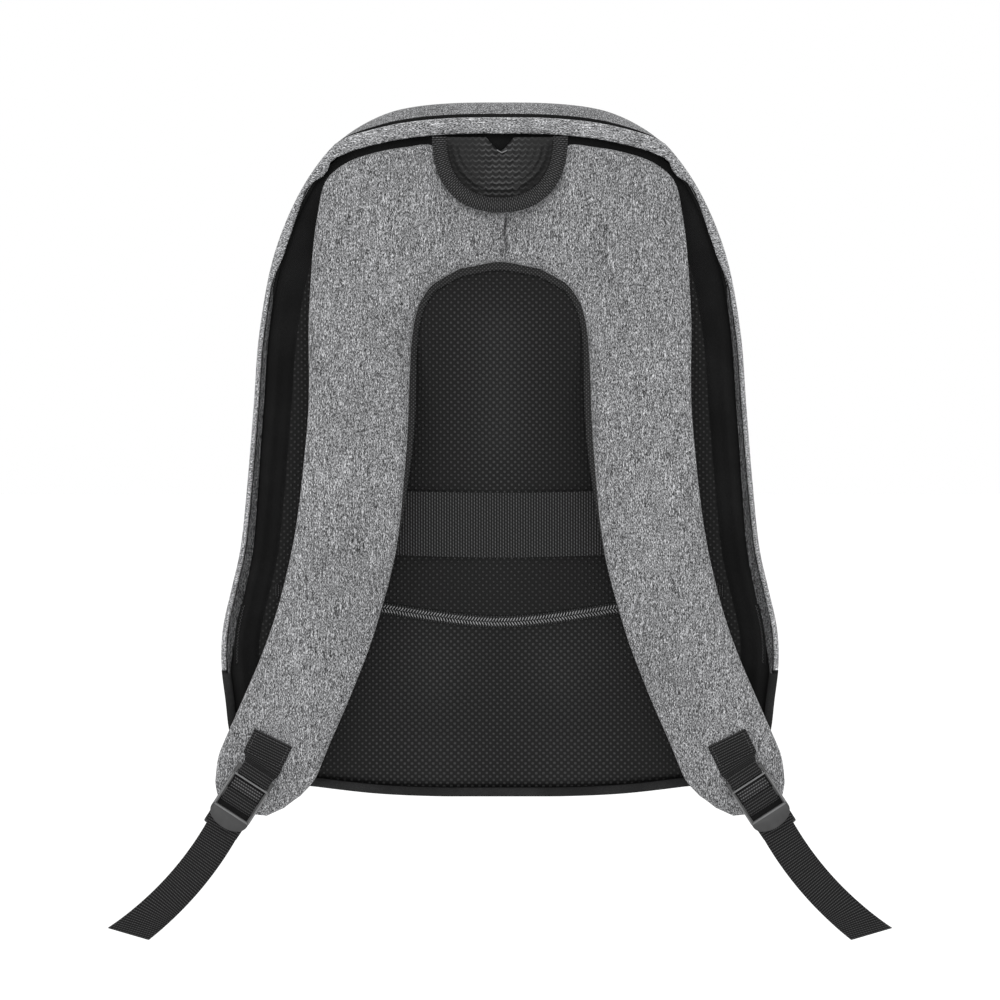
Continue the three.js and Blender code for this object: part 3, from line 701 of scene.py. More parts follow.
def makeInnerFlaps():
    # the rim's turned edge, which lies back inside it along the lower sides; its heather is darkened to three
    # tenths as painted shade for the shadow inside the rim
    for side, turned in sides:
        keep = [k for k in range(len(rearLine)) if turned * rearLine[k][0] > 0.05
                and flap["rows"][0] <= rearRows[k] <= flap["rows"][-1]]
        keep.sort(key=lambda k: rearRows[k])
        rings = []
        for k in keep:
            wide = float(np.interp(rearRows[k], flap["rows"], flap["wide"])) / 1000
            start = lip[k] + flap["gap"]
            section = [(0, -0.0016), (0.5, -0.0016), (1, -0.0006), (1, -0.0006 + flap["thick"]), (0.5, -0.0006),
                       (0, -0.0006)]
            ring = []
            for share, y in section:
                inset = start + share * wide
                flat = rearLine[k] - rearOut[k] * inset
                ring.append((flat[0], y, flat[1]))
            rings.append(ring)
        addShape(f"{side}RimFlapShaded", skin(rings), shadedFlapCloth)


def makeChannel():
    outer, inner = rim["wall"] + 0.0023, rim["wall"] + 0.0042
    rows = [(outer, 0.0002), (outer, 0.012), (outer, rim["depth"]), (outer, 0.030), (0.0019, 0.034),
            (-0.0004, 0.0354), (-0.0004, 0.0361), (inner, 0.0361), (inner, 0.031), (inner, rim["depth"]),
            (inner, 0.0002)]
    sections = [wallPoints(inset, y) for inset, y in rows]
    mesh = cutAt(newMesh("zipTape", *aroundOutline(sections)), seamZ + cutGap, True)
    addPiece("zipTape", mesh, blackCloth, ["zip_channel"], 60)


coil = {"pitch": 0.0019, "long": 0.0031, "thick": 0.0006, "slant": 0.6}


def coilAlong(line, ups, look=coil):
    # two rows of slanted teeth along a line
    reach = float(np.linalg.norm(np.diff(line, axis=0), axis=1).sum())
    count = int(reach / look["pitch"])
    rows = evenPoints(np.hstack([line, ups]), count)
    parts = []
    for k in range(1, count - 1):
        centre, up = rows[k][:3], unit(rows[k][3:])
        along = unit(rows[k + 1][:3] - rows[k - 1][:3])
        across = np.cross(up, along)
        for side in (1, -1):
            lean = unit(across * side + along * look["slant"])
            middle = centre + across * side * look["long"] * 0.44 + along * look["pitch"] * 0.25 * side
            sizes = (look["long"], look["thick"], look["thick"] * 1.1)
            parts.append(bead(middle, lean, np.cross(up, lean), up, sizes))
    return joined(parts)


def makeMainZip():
    line = wallPoints(rim["wall"] + 0.0016, 0.0315)
    keep = [k for k in range(len(line)) if line[k][2] > seamZ + 0.004]
    half = len(line) // 2
    order = [k for k in keep if k > half] + [k for k in keep if k <= half]
    ups = upright(shellOut, 0)
    addShape("mainZipCoil", coilAlong(line[order], ups[order]), zipPlastic)


binding = {"insets": (0.0002, 0.0058), "front": -0.0016, "back": 0.0012}


def makeBaseBinding():
    # a rolled binding over the base's front edge
    keep = [k for k in range(len(rearLine)) if rearLine[k][1] < seamZ - 0.0005]
    order = sorted(keep, key=lambda k: math.atan2(rearLine[k][0], seamZ + 0.02 - rearLine[k][1]))
    rings = []
    for k in order:
        ring = []
        for a in np.arange(10) * math.pi / 5:
            inset = mix(*binding["insets"], 0.5 + 0.5 * math.cos(a))
            y = mix(binding["back"], binding["front"], 0.5 + 0.5 * math.sin(a))
            flat = shellLine[k] - shellOut[k] * inset
            ring.append((flat[0], y, max(flat[1], bottom)))
        rings.append(ring)
    addShape("baseBinding", skin(rings), baseCloth)


makeRim()
makeBaseBinding()
makeInnerFlaps()
makeChannel()
makeMainZip()
print("rim and main zip made")


# Back panel

panel = {
    "thick": 0.010,
    "edge": 0.0025,
    "edgeWide": 0.006,
    "lipTop": 0.0105,
    "lipSide": 0.0043,
    "borderWide": 0.020,
    "ridgeAt": 0.0085,
    "ridge": 0.002,
    "ridgeWide": 0.0028,
    "groove": 0.0012,
    "crown": 0.0055,
    "crownWide": 0.045,
    "lowRidge": 0.004,
    "lowRidgeAt": 0.041,
    "lowRidgeWide": 0.025,
    "meshFrom": 0.05,
    "fronts": [0.0006, 0.0015, 0.003, 0.0045, 0.006, 0.008, 0.010, 0.012, 0.014, 0.016, 0.018, 0.020, 0.022,
               0.024, 0.026, 0.028, 0.029, 0.030],
    "reaches": [0.985, 0.96, 0.93, 0.89, 0.85, 0.8, 0.75, 0.7, 0.64, 0.58, 0.52, 0.46, 0.4, 0.34, 0.28, 0.22,
                0.16, 0.1, 0.05],
    "calmed": 6,
}


def panelFront(x, z):
    # how far the panel's padding stands in front of its plane
    upper = smooth((atRow(262) - z) / 0.05) * smooth((z - atRow(690)) / 0.06)
    lower = smooth((atRow(630) - z) / 0.04) * smooth((z - bottom) / 0.05)
    rise = panel["crown"] * np.exp(-((x / panel["crownWide"]) ** 2)) * upper
    for side in (-1, 1):
        spot = (x - side * panel["lowRidgeAt"]) / panel["lowRidgeWide"]
        rise = rise + panel["lowRidge"] * np.exp(-(spot ** 2)) * lower
    return rise


def makePanel():
    calmLip = mix(panel["lipTop"], panel["lipSide"], smooth((rearDown - outline["rearDrop"] / height) / 0.1))
    clear = np.maximum(calmLip + 0.0003, rim["wall"] * 2 + 0.0006)
    steps = [(0.006, panel["thick"]), (0, panel["thick"] - 0.0025), (0, panel["edge"])]
    rings = []
    for more, y in steps:
        rings.append(upright(rearLine - rearOut * (clear + more)[:, None], y))
    for more in panel["fronts"]:
        fall = panel["edge"] * (1 - smooth(more / panel["edgeWide"]))
        ridge = panel["ridge"] * bell(more - panel["ridgeAt"], panel["ridgeWide"])
        groove = panel["groove"] * bell(more - panel["borderWide"], panel["groove"])
        y = fall - (ridge - groove) * smooth((rearRows - 240) / 200) * smooth((740 - rearRows) / 60)
        rings.append(upright(rearLine - rearOut * (clear + more)[:, None], y))
    border = rings[-1].copy()
    centre = np.array((0, (crown + bottom) / 2))
    ways = unitRows(rearLine - centre)
    radii = np.linalg.norm(border[:, [0, 2]] - centre, axis=1)
    radii = np.mean([np.roll(radii, step) for step in range(-panel["calmed"], panel["calmed"] + 1)], axis=0)
    calm = centre + ways * radii[:, None]
    for reach in panel["reaches"]:
        share = smooth((1 - reach) / 0.12)
        x = mix(border[:, 0], calm[:, 0], share) * reach
        z = centre[1] + (mix(border[:, 2], calm[:, 1], share) - centre[1]) * reach
        y = -panelFront(x, z) * smooth((1 - reach) / 0.2)
        rings.append(np.stack([x, y, z], axis=1))
    mesh = newMesh("backPanelPad", *skin(rings))
    piece = addPiece("backPanelPad", mesh, [airMesh, blackCloth], ["back_panel"], 60)
    size = len(rearLine)
    for k, face in enumerate(mesh.polygons):
        ring = k // size
        low = face.center.z < bottom + panel["meshFrom"]
        bound = 2 if low else sum(more <= panel["borderWide"] for more in panel["fronts"])
        if ring < len(steps) + bound - 1 or ring >= len(rings) - 1 and face.center.y > 0.005:
            face.material_index = 1


makePanel()
print("back panel made")


# Shoulder straps

strap = {
    "rows": {
        "side": [0, 0.155, 0.204, 0.229, 0.295, 0.359, 0.421, 0.461, 0.482, 0.502, 0.511, 0.548, 0.607, 0.686,
                 0.773, 0.829, 0.866, 0.888, 0.893],
        "down": [0.194, 0.182, 0.17, 0.16, 0.166, 0.176, 0.19, 0.21, 0.247, 0.35, 0.486, 0.623, 0.724, 0.816,
                 0.898, 0.951, 0.986, 1.008, 1.022],
        "stand": [0, 0, 0, 0, 0, 0, 0, 0.02, 0.1, 0.5, 0.92, 1, 0.9, 0.7, 0.55, 0.55, 0.55, 0.55, 0.55],
        "across": [0, 0.043, 0.048, 0.03, 0.12, 0.237, 0.357, 0.435, 0.464, 0.488, 0.483, 0.49, 0.464, 0.44,
                   0.449, 0.464, 0.41, 0.31, 0.16],
        "up": [0.242, 0.382, 0.531, 0.652, 0.681, 0.696, 0.686, 0.657, 0.565, 0.338, 0.097, 0.08, 0.145, 0.18,
               0.155, 0.126, 0.07, 0.04, 0.02],
        "thick": [0.85, 0.95, 1, 1, 1, 1, 1, 1, 1, 1, 1, 1, 1, 1, 1, 1, 0.92, 0.7, 0.35],
        "lip": [1, 1, 1, 1, 1, 1, 1, 1, 1, 1, 0.7, 0.1, 0, 0, 0, 0, 0, 0, 0],
    },
    "width": 0.067,
    "thick": 0.012,
    "stand": 0.024,
    "lining": 0.0025,
    "overhang": 0.0055,
    "sewn": 0.0005,
    "seam": 0.0003,
    "join": 0.00002,
    "yokeSteps": 26,
    "yokeShare": 0.03,
    "tipShare": 0.92,
    "tipSteps": 40,
    "steps": 116,
    "span": 28,
}
strapMiddle = np.array(list(zip(*(strap["rows"][k] for k in ("side", "down", "stand")))))
strapHalf = np.array(list(zip(*(strap["rows"][k] for k in ("across", "up", "thick")))))


def strapAt(share):
    middle = curvePoint(strapMiddle, share, before=strapMiddle[1] * (-1, 1, 1))
    half = curvePoint(strapHalf, share, before=strapHalf[1] * (-1, 1, 1))
    rows = len(strapMiddle) - 1
    return {
        "x": middle[0] * halfWidth,
        "z": heightAt(middle[1]),
        "half": half[:2] * strap["width"],
        "back": -strap["sewn"] - max(0, middle[2]) * strap["stand"],
        "thick": half[2] * strap["thick"],
        "lip": float(np.interp(share * rows, range(rows + 1), strap["rows"]["lip"])) * strap["overhang"],
    }


strapShares = np.concatenate([
    np.linspace(0, strap["yokeShare"], strap["yokeSteps"]),
    np.linspace(strap["yokeShare"], strap["tipShare"], strap["steps"])[1:],
    np.linspace(strap["tipShare"], 1, strap["tipSteps"])[1:],
])


def strapPoint(at, span, rise, lipWide=0.0):
    inner = lipWide / np.linalg.norm(at["half"]) if span < 0 else 0
    reach = span * (1 + inner)
    x = max(strap["join"], at["x"] + at["half"][0] * reach)
    return np.array((x, at["back"] - rise, at["z"] + at["half"][1] * reach))


def padRise(at, span):
    edge = max(0.0, 1 - abs(span) ** 3.4) ** 0.34
    return strap["lining"] + strap["seam"] + at["thick"] * (0.84 * edge + 0.16 * (1 - span * span))


crease = {"row": 355, "deep": 0.0009, "wide": 0.0035, "bend": 0.003}
uneven = {"soft": 0.0011, "fine": 0.00035}
tuck = {"x": 0.0037, "rows": (208, 258), "deep": 0.0036, "wide": 0.0008, "pull": 0.002, "pullWide": 0.008}


def padDetail(at, span, point):
    # soft unevenness, the crosswise crease and the tucked middle seam
    calm = max(0.0, 1 - abs(span) ** 3)
    soft = noise.noise(Vector((point[0] * 38, 1.7, point[2] * 26))) * uneven["soft"]
    fine = noise.noise(Vector((point[0] * 120, 5.2, point[2] * 90))) * uneven["fine"]
    away = point[2] - atRow(crease["row"]) - crease["bend"] * math.sin(point[0] * 60)
    line = crease["deep"] * bell(away, crease["wide"]) * smooth((span + 0.9) / 0.5)
    row = photo["originY"] - point[2] / photo["pixel"]
    along = smooth((row - tuck["rows"][0]) / 12) * smooth((tuck["rows"][1] - row) / 14)
    off = point[0] - tuck["x"] - 0.0005 * math.sin(row * 0.21)
    seam = along * (tuck["deep"] * bell(off, tuck["wide"]) + tuck["pull"] * bell(off, tuck["pullWide"]))
    return (soft + fine) * calm - line - seam


puff = {"voxel": 0.005, "pressure": 4.0, "frames": 20, "cap": 0.0016, "start": 0.9, "near": 6,
        "sideways": 0.2, "calm": 0.02}


def clothPuff(points, faces):
    # blows up a coarse copy as cloth and gives each point its part of that movement
    scene = bpy.context.scene
    proxy = bpy.data.objects.new("padProxy", newMesh("padProxy", points, faces))
    scene.collection.objects.link(proxy)
    coarse = proxy.modifiers.new("coarse", "REMESH")
    coarse.mode = "VOXEL"
    coarse.voxel_size = puff["voxel"]
    rough = bpy.data.meshes.new_from_object(proxy.evaluated_get(bpy.context.evaluated_depsgraph_get()))
    proxy.modifiers.clear()
    proxy.data = rough
    start = np.array([v.co for v in rough.vertices])
    cloth = proxy.modifiers.new("cloth", "CLOTH")
    cloth.settings.use_pressure = True
    cloth.settings.uniform_pressure_force = puff["pressure"]
    cloth.settings.effector_weights.gravity = 0
    cloth.point_cache.frame_start = 1
    cloth.point_cache.frame_end = puff["frames"]
    for number in range(1, puff["frames"] + 1):
        scene.frame_set(number)
    blown = proxy.evaluated_get(bpy.context.evaluated_depsgraph_get()).to_mesh()
    moved = np.array([v.co for v in blown.vertices]) - start
    moved -= moved.mean(0)
    length = np.linalg.norm(moved, axis=1)
    moved *= (np.minimum(length, puff["cap"]) / np.maximum(length, 1e-9))[:, None]
    tree = kdtree.KDTree(len(start))
    for k, point in enumerate(start):
        tree.insert(point, k)
    tree.balance()
    result = np.array(points, float)
    moved *= (puff["sideways"], 1, puff["sideways"])
    for k, point in enumerate(points):
        found = tree.find_n(point, puff["near"])
        weights = np.array([1 / (distance + 0.002) ** 2 for _, _, distance in found])
        push = (moved[[i for _, i, _ in found]] * weights[:, None]).sum(0) / weights.sum()
        result[k] += push * smooth(abs(point[0]) / puff["calm"])
    bpy.data.objects.remove(proxy)
    scene.frame_set(1)
    return result


def makePad(turned):
    spans = [math.copysign(abs(math.cos(a)) ** 0.62, math.cos(a)) for a in np.linspace(0, math.pi, strap["span"])]
    rings = []
    for share in strapShares:
        at = strapAt(share)
        ring = []
        for span in spans:
            base = strap["lining"] + strap["seam"]
            rise = base + (padRise(at, span) - base) * puff["start"]
            ring.append(strapPoint(at, span, rise) * (turned, 1, 1))
        for span in (-0.97, -0.6, -0.2, 0.2, 0.6, 0.97):
            ring.append(strapPoint(at, span, strap["lining"] + strap["seam"]) * (turned, 1, 1))
        rings.append(ring)
    points, faces = skin(rings)
    puffed = clothPuff(points, faces)
    size = len(spans) + 6
    for row, share in enumerate(strapShares):
        at = strapAt(share)
        back = at["back"] - strap["lining"] - strap["seam"]
        for k in range(size):
            point = puffed[row * size + k]
            if k < len(spans):
                point[1] = max(point[1], at["back"] - padRise(at, spans[k]))
                point[1] -= min(padDetail(at, spans[k], point), 0.0002)
            point[1] = min(point[1], back)
            point[0] = turned * max(turned * point[0], strap["join"])
    return puffed, faces


def makeLining():
    corners = [(-1, 0.5), (-0.99, 0.85), (-0.96, 1), (-0.9, 1.0), (-0.5, 1), (0, 1), (0.5, 1), (0.95, 1),
               (0.985, 0.5), (0.95, 0), (0.5, 0), (0, 0), (-0.5, 0), (-0.9, 0), (-0.97, 0.1), (-0.99, 0.2)]
    rings = []
    for share in strapShares:
        at = strapAt(share)
        rings.append([strapPoint(at, span, rise * strap["lining"], at["lip"]) for span, rise in corners])
    return skin(rings)


def bothSides(name, shape, finish, nodeEnd=None):
    for side, turned in sides:
        points, *rest = shape
        nodes = [f"{side}_{nodeEnd}"] if nodeEnd else []
        addShape(side + name, (np.asarray(points) * (turned, 1, 1), *rest), finish, nodes, 60)


for side, turned in sides:
    name = f"{side}StrapPadCloth"
    pad = addShape(name, makePad(turned), greyCloth, [f"{side}_strap_pad"], 60)
bothSides("StrapLiningMesh", makeLining(), liningMesh, "strap_lining")
print("straps made")


# Flat bands: stations of a middle, an across and a facing direction

def bandSkin(stations):
    corners = [(1, 0), (0.94, 1), (0.5, 1), (0, 1), (-0.5, 1), (-0.94, 1),
               (-1, 0), (-0.94, -1), (-0.5, -1), (0, -1), (0.5, -1), (0.94, -1)]
    rings, layer, reach, last = [], [], 0.0, None
    for s in stations:
        if last is not None:
            reach += float(np.linalg.norm(s["middle"] - last))
        last = s["middle"]
        ring = []
        for side, face in corners:
            point = s["middle"] + s["across"] * side * s["width"] / 2 + s["facing"] * face * s["thickness"] / 2
            ring.append(point + s.get("skew", 0) * side / 2)
            layer.append((side * s["width"] / 2, reach, 0))
        rings.append(ring)
    points, faces = skin(rings)
    layer += [(0, 0, 0), (0, reach, 0)]
    return points, faces, layer


loop = {"width": 0.078, "drop": 0.044, "band": 0.0095, "thick": 0.0035, "round": 0.86, "steps": 64}
loopBack = -strap["sewn"] - strap["lining"] - strap["seam"] - strap["thick"] - 0.0001


def loopPoint(angle, grow):
    x = (loop["width"] / 2 + grow) * math.copysign(abs(math.cos(angle)) ** loop["round"], math.cos(angle))
    return np.array((x, 0.0, -(loop["drop"] + grow) * abs(math.sin(angle)) ** loop["round"]))


def makeGrabLoop():
    section = [(0, 0.3), (0.02, 0.7), (0.09, 0.95), (0.16, 1.0), (0.2, 0.86), (0.35, 0.93), (0.5, 0.95),
               (0.65, 0.93), (0.8, 0.86), (0.84, 1.0), (0.91, 0.95), (0.98, 0.7), (1, 0.3), (0.9, 0), (0.5, 0),
               (0.1, 0)]
    rings, layer, reach, last = [], [], 0.0, None
    for angle in np.linspace(0, math.pi, loop["steps"]):
        inside, outside = loopPoint(angle, -loop["band"] / 2), loopPoint(angle, loop["band"] / 2)
        if last is not None:
            reach += float(np.linalg.norm(outside - last))
        last = outside
        ring = []
        for share, rise in section:
            point = mix(inside, outside, share)
            point[1] = loopBack - rise * loop["thick"]
            ring.append(point)
            layer.append(((share - 0.5) * loop["band"], reach, 0))
        rings.append(ring)
    points, faces = skin(rings)
    layer += [(0, 0, 0), (0, reach, 0)]
    addShape("grabLoopWebbing", (points, faces, layer), loopWebbing, ["grab_loop"], 60)


handle = {"thick": 0.010, "gap": 0.0003, "sagWide": 0.0085, "sagDeep": 0.0098, "topPoints": 41, "arcs": 0.0008,
          "arcPitch": 0.0042, "heart": -0.020, "arcCentre": -0.004, "sinks": 0.0016, "threadRise": 0.0009,
          "thread": {"length": 0.0024, "gap": 0.0004, "width": 0.0007}}


def sagAt(x):
    return handle["sagDeep"] * max(0.0, 1 - abs(x) / handle["sagWide"]) ** 0.8


def makeHandleMesh():
    # the mesh inside the loop, with arched ripples and its top edge slack in the middle
    rings = []
    for shrink, depth in ((0.002, 0), (0, 0.1), (0, 0.6), (0.0006, 0.72), (0.002, 0.8)):
        ring = []
        for angle in np.linspace(0, math.pi, loop["steps"]):
            point = loopPoint(angle, -loop["band"] / 4 - shrink)
            ring.append((point[0], point[2]))
        for x in np.linspace(ring[-1][0], ring[0][0], handle["topPoints"])[1:-1]:
            ring.append((x, 0))
        top = -shrink - handle["gap"]
        y = -handle["gap"] - depth * handle["thick"]
        rings.append(np.array([(x, y, min(z, top - sagAt(x))) for x, z in ring]))
    edge = rings[-1]
    heart = np.array((0.0, edge[0][1], handle["heart"]))
    for reach in np.linspace(0.95, 0.05, 26):
        ring = heart + (edge - heart) * reach
        for point in ring:
            radius = math.hypot(point[0], point[2] - handle["arcCentre"])
            inside = smooth((1 - reach) / 0.35)
            ripple = handle["arcs"] * math.sin(2 * math.pi * radius / handle["arcPitch"])
            point[1] -= (handle["sinks"] + ripple * 0.6) * inside
        rings.append(ring)
    piece = addShape("handleMeshPad", skin(rings), handleAirMesh, ["handle_mesh"], 70)
    y = edge[0][1] - handle["threadRise"]
    ends = [(-0.002, -0.0086, 0.0012, -0.0104), (0.0012, -0.0104, 0.0046, -0.0088)]
    rows = []
    for x0, z0, x1, z1 in ends:
        line = np.array([(x0, y, z0), (x1, y, z1)])
        rows.append(stitchRow(line, forward(2), handle["thread"]))
    addShape("sagThreads", joined(rows), greyThread)


makeGrabLoop()
makeHandleMesh()

band = {"height": 0.040, "span": 0.233, "stand": 0.0062, "thick": 0.0015, "sag": 0.0032, "top": 0.554,
        "rows": 14, "columns": 150}


def makeBand():
    # the luggage band, a grid with its ribs running up and down
    rows, columns = band["rows"], band["columns"]
    half = band["span"] / 2
    knots = ([-1, -0.96, -0.88, -0.8, 0.8, 0.88, 0.96, 1], [0, 0.12, 0.9, 1, 1, 0.9, 0.12, 0])
    front, back, layer = [], [], []
    for column in range(columns + 1):
        x = mix(-1.0, 1.0, column / columns)
        sag = band["sag"] * (1 - x * x)
        stand = strap["sewn"] + float(np.interp(x, *knots)) * (band["stand"] - strap["sewn"])
        high, low = heightAt(band["top"]) - sag, heightAt(band["top"]) - band["height"] - 1.6 * sag
        for row in range(rows + 1):
            z = mix(high, low, row / rows)
            hem = 0.0003 if row in (0, rows) else 0
            wave = 0.0002 * math.sin(x * 9 + 1) * math.sin(math.pi * row / rows)
            front.append((x * half, -stand - band["thick"] + hem - wave, z))
            back.append((x * half, -stand - hem, z))
            layer.append((z, x * half, 0))
    points = np.array(front + back)
    size = rows + 1
    shift = len(front)
    faces = []
    for c in range(columns):
        for r in range(rows):
            a, b = c * size + r, (c + 1) * size + r
            faces += [(a, b, b + 1, a + 1), (a + shift, a + 1 + shift, b + 1 + shift, b + shift)]
        for r in (0, rows):
            a, b = c * size + r, (c + 1) * size + r
            faces.append((a, b, b + shift, a + shift))
    for c in (0, columns):
        for r in range(rows):
            a = c * size + r
            faces.append((a, a + 1, a + 1 + shift, a + shift))
    shape = points, faces, layer + layer
    addShape("luggageBandElastic", shape, bandWebbing, ["luggage_band"], 60)


makeBand()
print("loop and band made")


# Pocket zip and side zips

pocket = {"span": 0.291, "height": 0.0078, "thick": 0.0011, "ends": 0.702, "middle": 0.747,
          "teethTo": 0.122, "rounding": 0.06, "tapeLift": 0.0009, "coilLift": 0.0021}
sideZip = {"inset": 0.0105, "rows": (596, 672), "from": 0.1, "y": -0.0006, "width": 0.0042, "thickness": 0.0009,
           "coil": dict(coil, long=0.0007, thick=0.0005, slant=0.1)}


def pocketLine(count, lift):
    x = np.linspace(-1, 1, count)
    soft = pocket["rounding"]
    low, high = math.sqrt(soft), math.sqrt(1 + soft)
    rise = (np.sqrt(x * x + soft) - low) / (high - low)
    z = heightAt(mix(pocket["middle"], pocket["ends"], rise))
    x = x * pocket["span"] / 2
    return np.stack([x, -panelFront(x, z) - lift, z], axis=1)


def makePocketZip():
    stations = [{"middle": point, "across": np.array((0, 0, 1.0)), "facing": np.array((0, -1.0, 0)),
                 "width": pocket["height"], "thickness": pocket["thick"]}
                for point in pocketLine(90, pocket["tapeLift"])]
    addShape("pocketZipTape", bandSkin(stations), webbing, ["pocket_zip"])
    line = pocketLine(120, pocket["coilLift"])
    line = line[np.abs(line[:, 0]) < pocket["teethTo"]]
    addShape("pocketZipCoil", coilAlong(line, forward(len(line))), zipPlastic)


def makeSideZip():
    line = wallPoints(sideZip["inset"], sideZip["y"])
    high, low = (atRow(row) for row in sideZip["rows"])
    keep = [k for k in range(len(line)) if line[k][0] > sideZip["from"] and low < line[k][2] < high]
    line = line[sorted(keep, key=lambda k: -line[k][2])]
    stations = [{"middle": point, "across": np.array((1.0, 0, 0)), "facing": np.array((0, -1.0, 0)),
                 "width": sideZip["width"], "thickness": sideZip["thickness"]} for point in line]
    bothSides("SideZipTape", bandSkin(stations), blackCloth, "side_zip")
    line = line - (0.0, sideZip["thickness"], 0.0)
    shape = coilAlong(line, forward(len(line)), sideZip["coil"])
    bothSides("SideZipCoil", shape, sideZipPlastic)


makePocketZip()
makeSideZip()
print("zips made")


# Strap ends: patch, ladder lock and adjuster webbing

lock = {
    "width": 0.027,
    "thick": 0.0026,
    "rail": 0.0022,
    "topBar": 0.004,
    "window": 0.013,
    "middleBar": 0.007,
    "slot": 0.0055,
    "lowerBar": 0.0032,
    "stand": 0.0065,
    "side": 0.8774,
    "down": 0.968,
    "tilt": math.radians(33),
}
tail = {"length": 0.102, "from": math.radians(27), "to": math.radians(54), "skew": 0.017, "hem": 0.009,
        "width": 0.022, "thick": 0.0014, "hidden": 0.0244}
patch = {"width": 0.027, "length": 0.029, "thick": 0.0015, "tilt": math.radians(26),
         "thread": {"length": 0.0015, "gap": 0.0006, "width": 0.00042}}
endAt = strapAt(0.87)
lockFace = endAt["back"] - strap["lining"] - strap["seam"] - strap["thick"] - lock["stand"]
lockStart = np.array((lock["side"] * halfWidth, lockFace, heightAt(lock["down"])))
lockFacing = np.array((0, -1.0, 0))
slotStart = lock["window"] + lock["middleBar"]
lowerStart = slotStart + lock["slot"]
tabStart = lowerStart + lock["lowerBar"]


def lockAxes(tilt=lock["tilt"]):
    return np.array((math.sin(tilt), 0, -math.cos(tilt))), np.array((math.cos(tilt), 0, math.sin(tilt)))


def patchAxes(along):
    turn = smooth((-along - lock["topBar"] - 0.0042) / 0.005)
    return lockAxes(mix(lock["tilt"], patch["tilt"], turn))


def onLock(along, rise, across=0.0, axes=None):
    down, side = axes or lockAxes()
    return lockStart + down * along + lockFacing * rise + side * across


def pathStations(path, widthAt, thick, axesAt=lambda along: lockAxes(), per=5):
    points = np.array([(a, r) for a, r in path])
    dense = np.array([curvePoint(points, t) for t in np.linspace(0, 1, per * (len(path) - 1) + 1)])
    stations = []
    for k, (a, r) in enumerate(dense):
        before, after = dense[max(0, k - 1)], dense[min(len(dense) - 1, k + 1)]
        way = unit(after - before)
        axes = axesAt(a)
        stations.append({"middle": onLock(a, r, 0, axes), "across": axes[1], "width": widthAt(a, r),
                         "thickness": thick, "facing": -axes[0] * way[1] + lockFacing * way[0]})
    return stations


def makePatch():
    onPad = -lock["stand"] + 0.0004 + patch["thick"] / 2
    over = lock["thick"] / 2 + 0.0006 + patch["thick"] / 2
    top = lock["topBar"]
    path = [(-patch["length"], onPad), (-0.6 * patch["length"], onPad), (-top - 0.008, onPad),
            (-top - 0.0042, 0.55 * onPad), (-top - 0.003, 0), (-top - 0.0018, over - 0.0003),
            (-top + 0.001, over + 0.0001), (-0.0004, over), (0.0015, over / 2), (0.0016, -over / 2),
            (-0.0002, -over), (-top + 0.0006, -over - 0.0001)]
    inLock = lock["width"] - 2 * lock["rail"] - 0.0006

    def widthAt(along, rise):
        return mix(patch["width"], inLock, smooth((along + top + 0.0085) / 0.008))

    shape = bandSkin(pathStations(path, widthAt, patch["thick"], patchAxes))
    bothSides("PatchWebbing", shape, webbing, "webbing_patch")
    face = onPad + patch["thick"] / 2 + 0.0001
    rows = []
    half = patch["width"] / 2 - 0.0022
    low, high = -patch["length"] + 0.002, -0.0135
    for a0, b0, a1, b1 in ((low, -half, low, half), (low, half, high, half), (high, half, high, -half),
                           (high, -half, low, -half)):
        ends = [onLock(a0, face, b0, patchAxes(low)), onLock(a1, face, b1, patchAxes(low))]
        rows.append(stitchRow(np.array(ends), forward(2), patch["thread"]))
    bothSides("PatchStitches", joined(rows), blackThread)


def makeAdjuster():
    over = lock["thick"] / 2 + 0.0004 + tail["thick"] / 2
    under = -over - 0.0003
    deep = under - tail["thick"] - 0.0005
    sewn = lockFace + strap["sewn"] + tail["thick"] / 2
    behind = lockFace - endAt["back"]
    w = lock["window"]
    path = [(-0.024, sewn), (-0.010, sewn), (0.006, mix(sewn, behind, 0.3)), (0.022, mix(sewn, behind, 0.55)),
            (tabStart + 0.006, mix(deep, behind, 0.95)), (tabStart + 0.012, mix(deep, behind, 0.6)),
            (tabStart + 0.009, mix(deep, behind, 0.15)), (tabStart, deep), (slotStart, deep), (w, deep),
            (0.0066, deep + 0.0002), (0.0047, deep + 0.0012), (0.0041, -0.0018), (0.0048, -0.0004), (0.007, 0.0),
            (w - 0.0024, 0.0), (w - 0.0009, 0.0003), (w + 0.0005, over - 0.0005), (w + 0.0022, over + 0.0001),
            (slotStart - 0.0012, over + 0.0001), (slotStart + 0.0014, over / 2),
            (slotStart + 0.0024, -0.0004), (slotStart + 0.0033, under + 0.0006),
            (lowerStart + 0.0005, under - 0.0002), (tabStart, under)]

    def widthAt(along, rise):
        return mix(tail["hidden"], tail["width"], smooth((rise + 0.0022) / 0.0008))

    stations = pathStations(path, widthAt, tail["thick"])
    start = onLock(tabStart, under)
    radius = tail["length"] / (tail["to"] - tail["from"])
    for share in np.linspace(0, 1, 61)[1:]:
        turn = mix(tail["from"], tail["to"], share)
        hem = smooth((share * tail["length"] - tail["length"] + tail["hem"]) / 0.0006)
        shift = np.array((radius * (math.cos(tail["from"]) - math.cos(turn)), 0.003 * share * share,
                          -radius * (math.sin(turn) - math.sin(tail["from"]))))
        along, across = lockAxes(turn)
        narrowed = smooth((share * tail["length"] - 0.004) / 0.003)
        stations.append({"middle": start + shift, "across": across, "facing": lockFacing,
                         "thickness": tail["thick"] * (1 + 0.9 * hem),
                         "width": mix(tail["hidden"], tail["width"], narrowed),
                         "skew": along * tail["skew"] * smooth((share - 0.6) / 0.4)})
    bothSides("AdjusterStrap", bandSkin(stations), webbing, "adjuster_webbing")


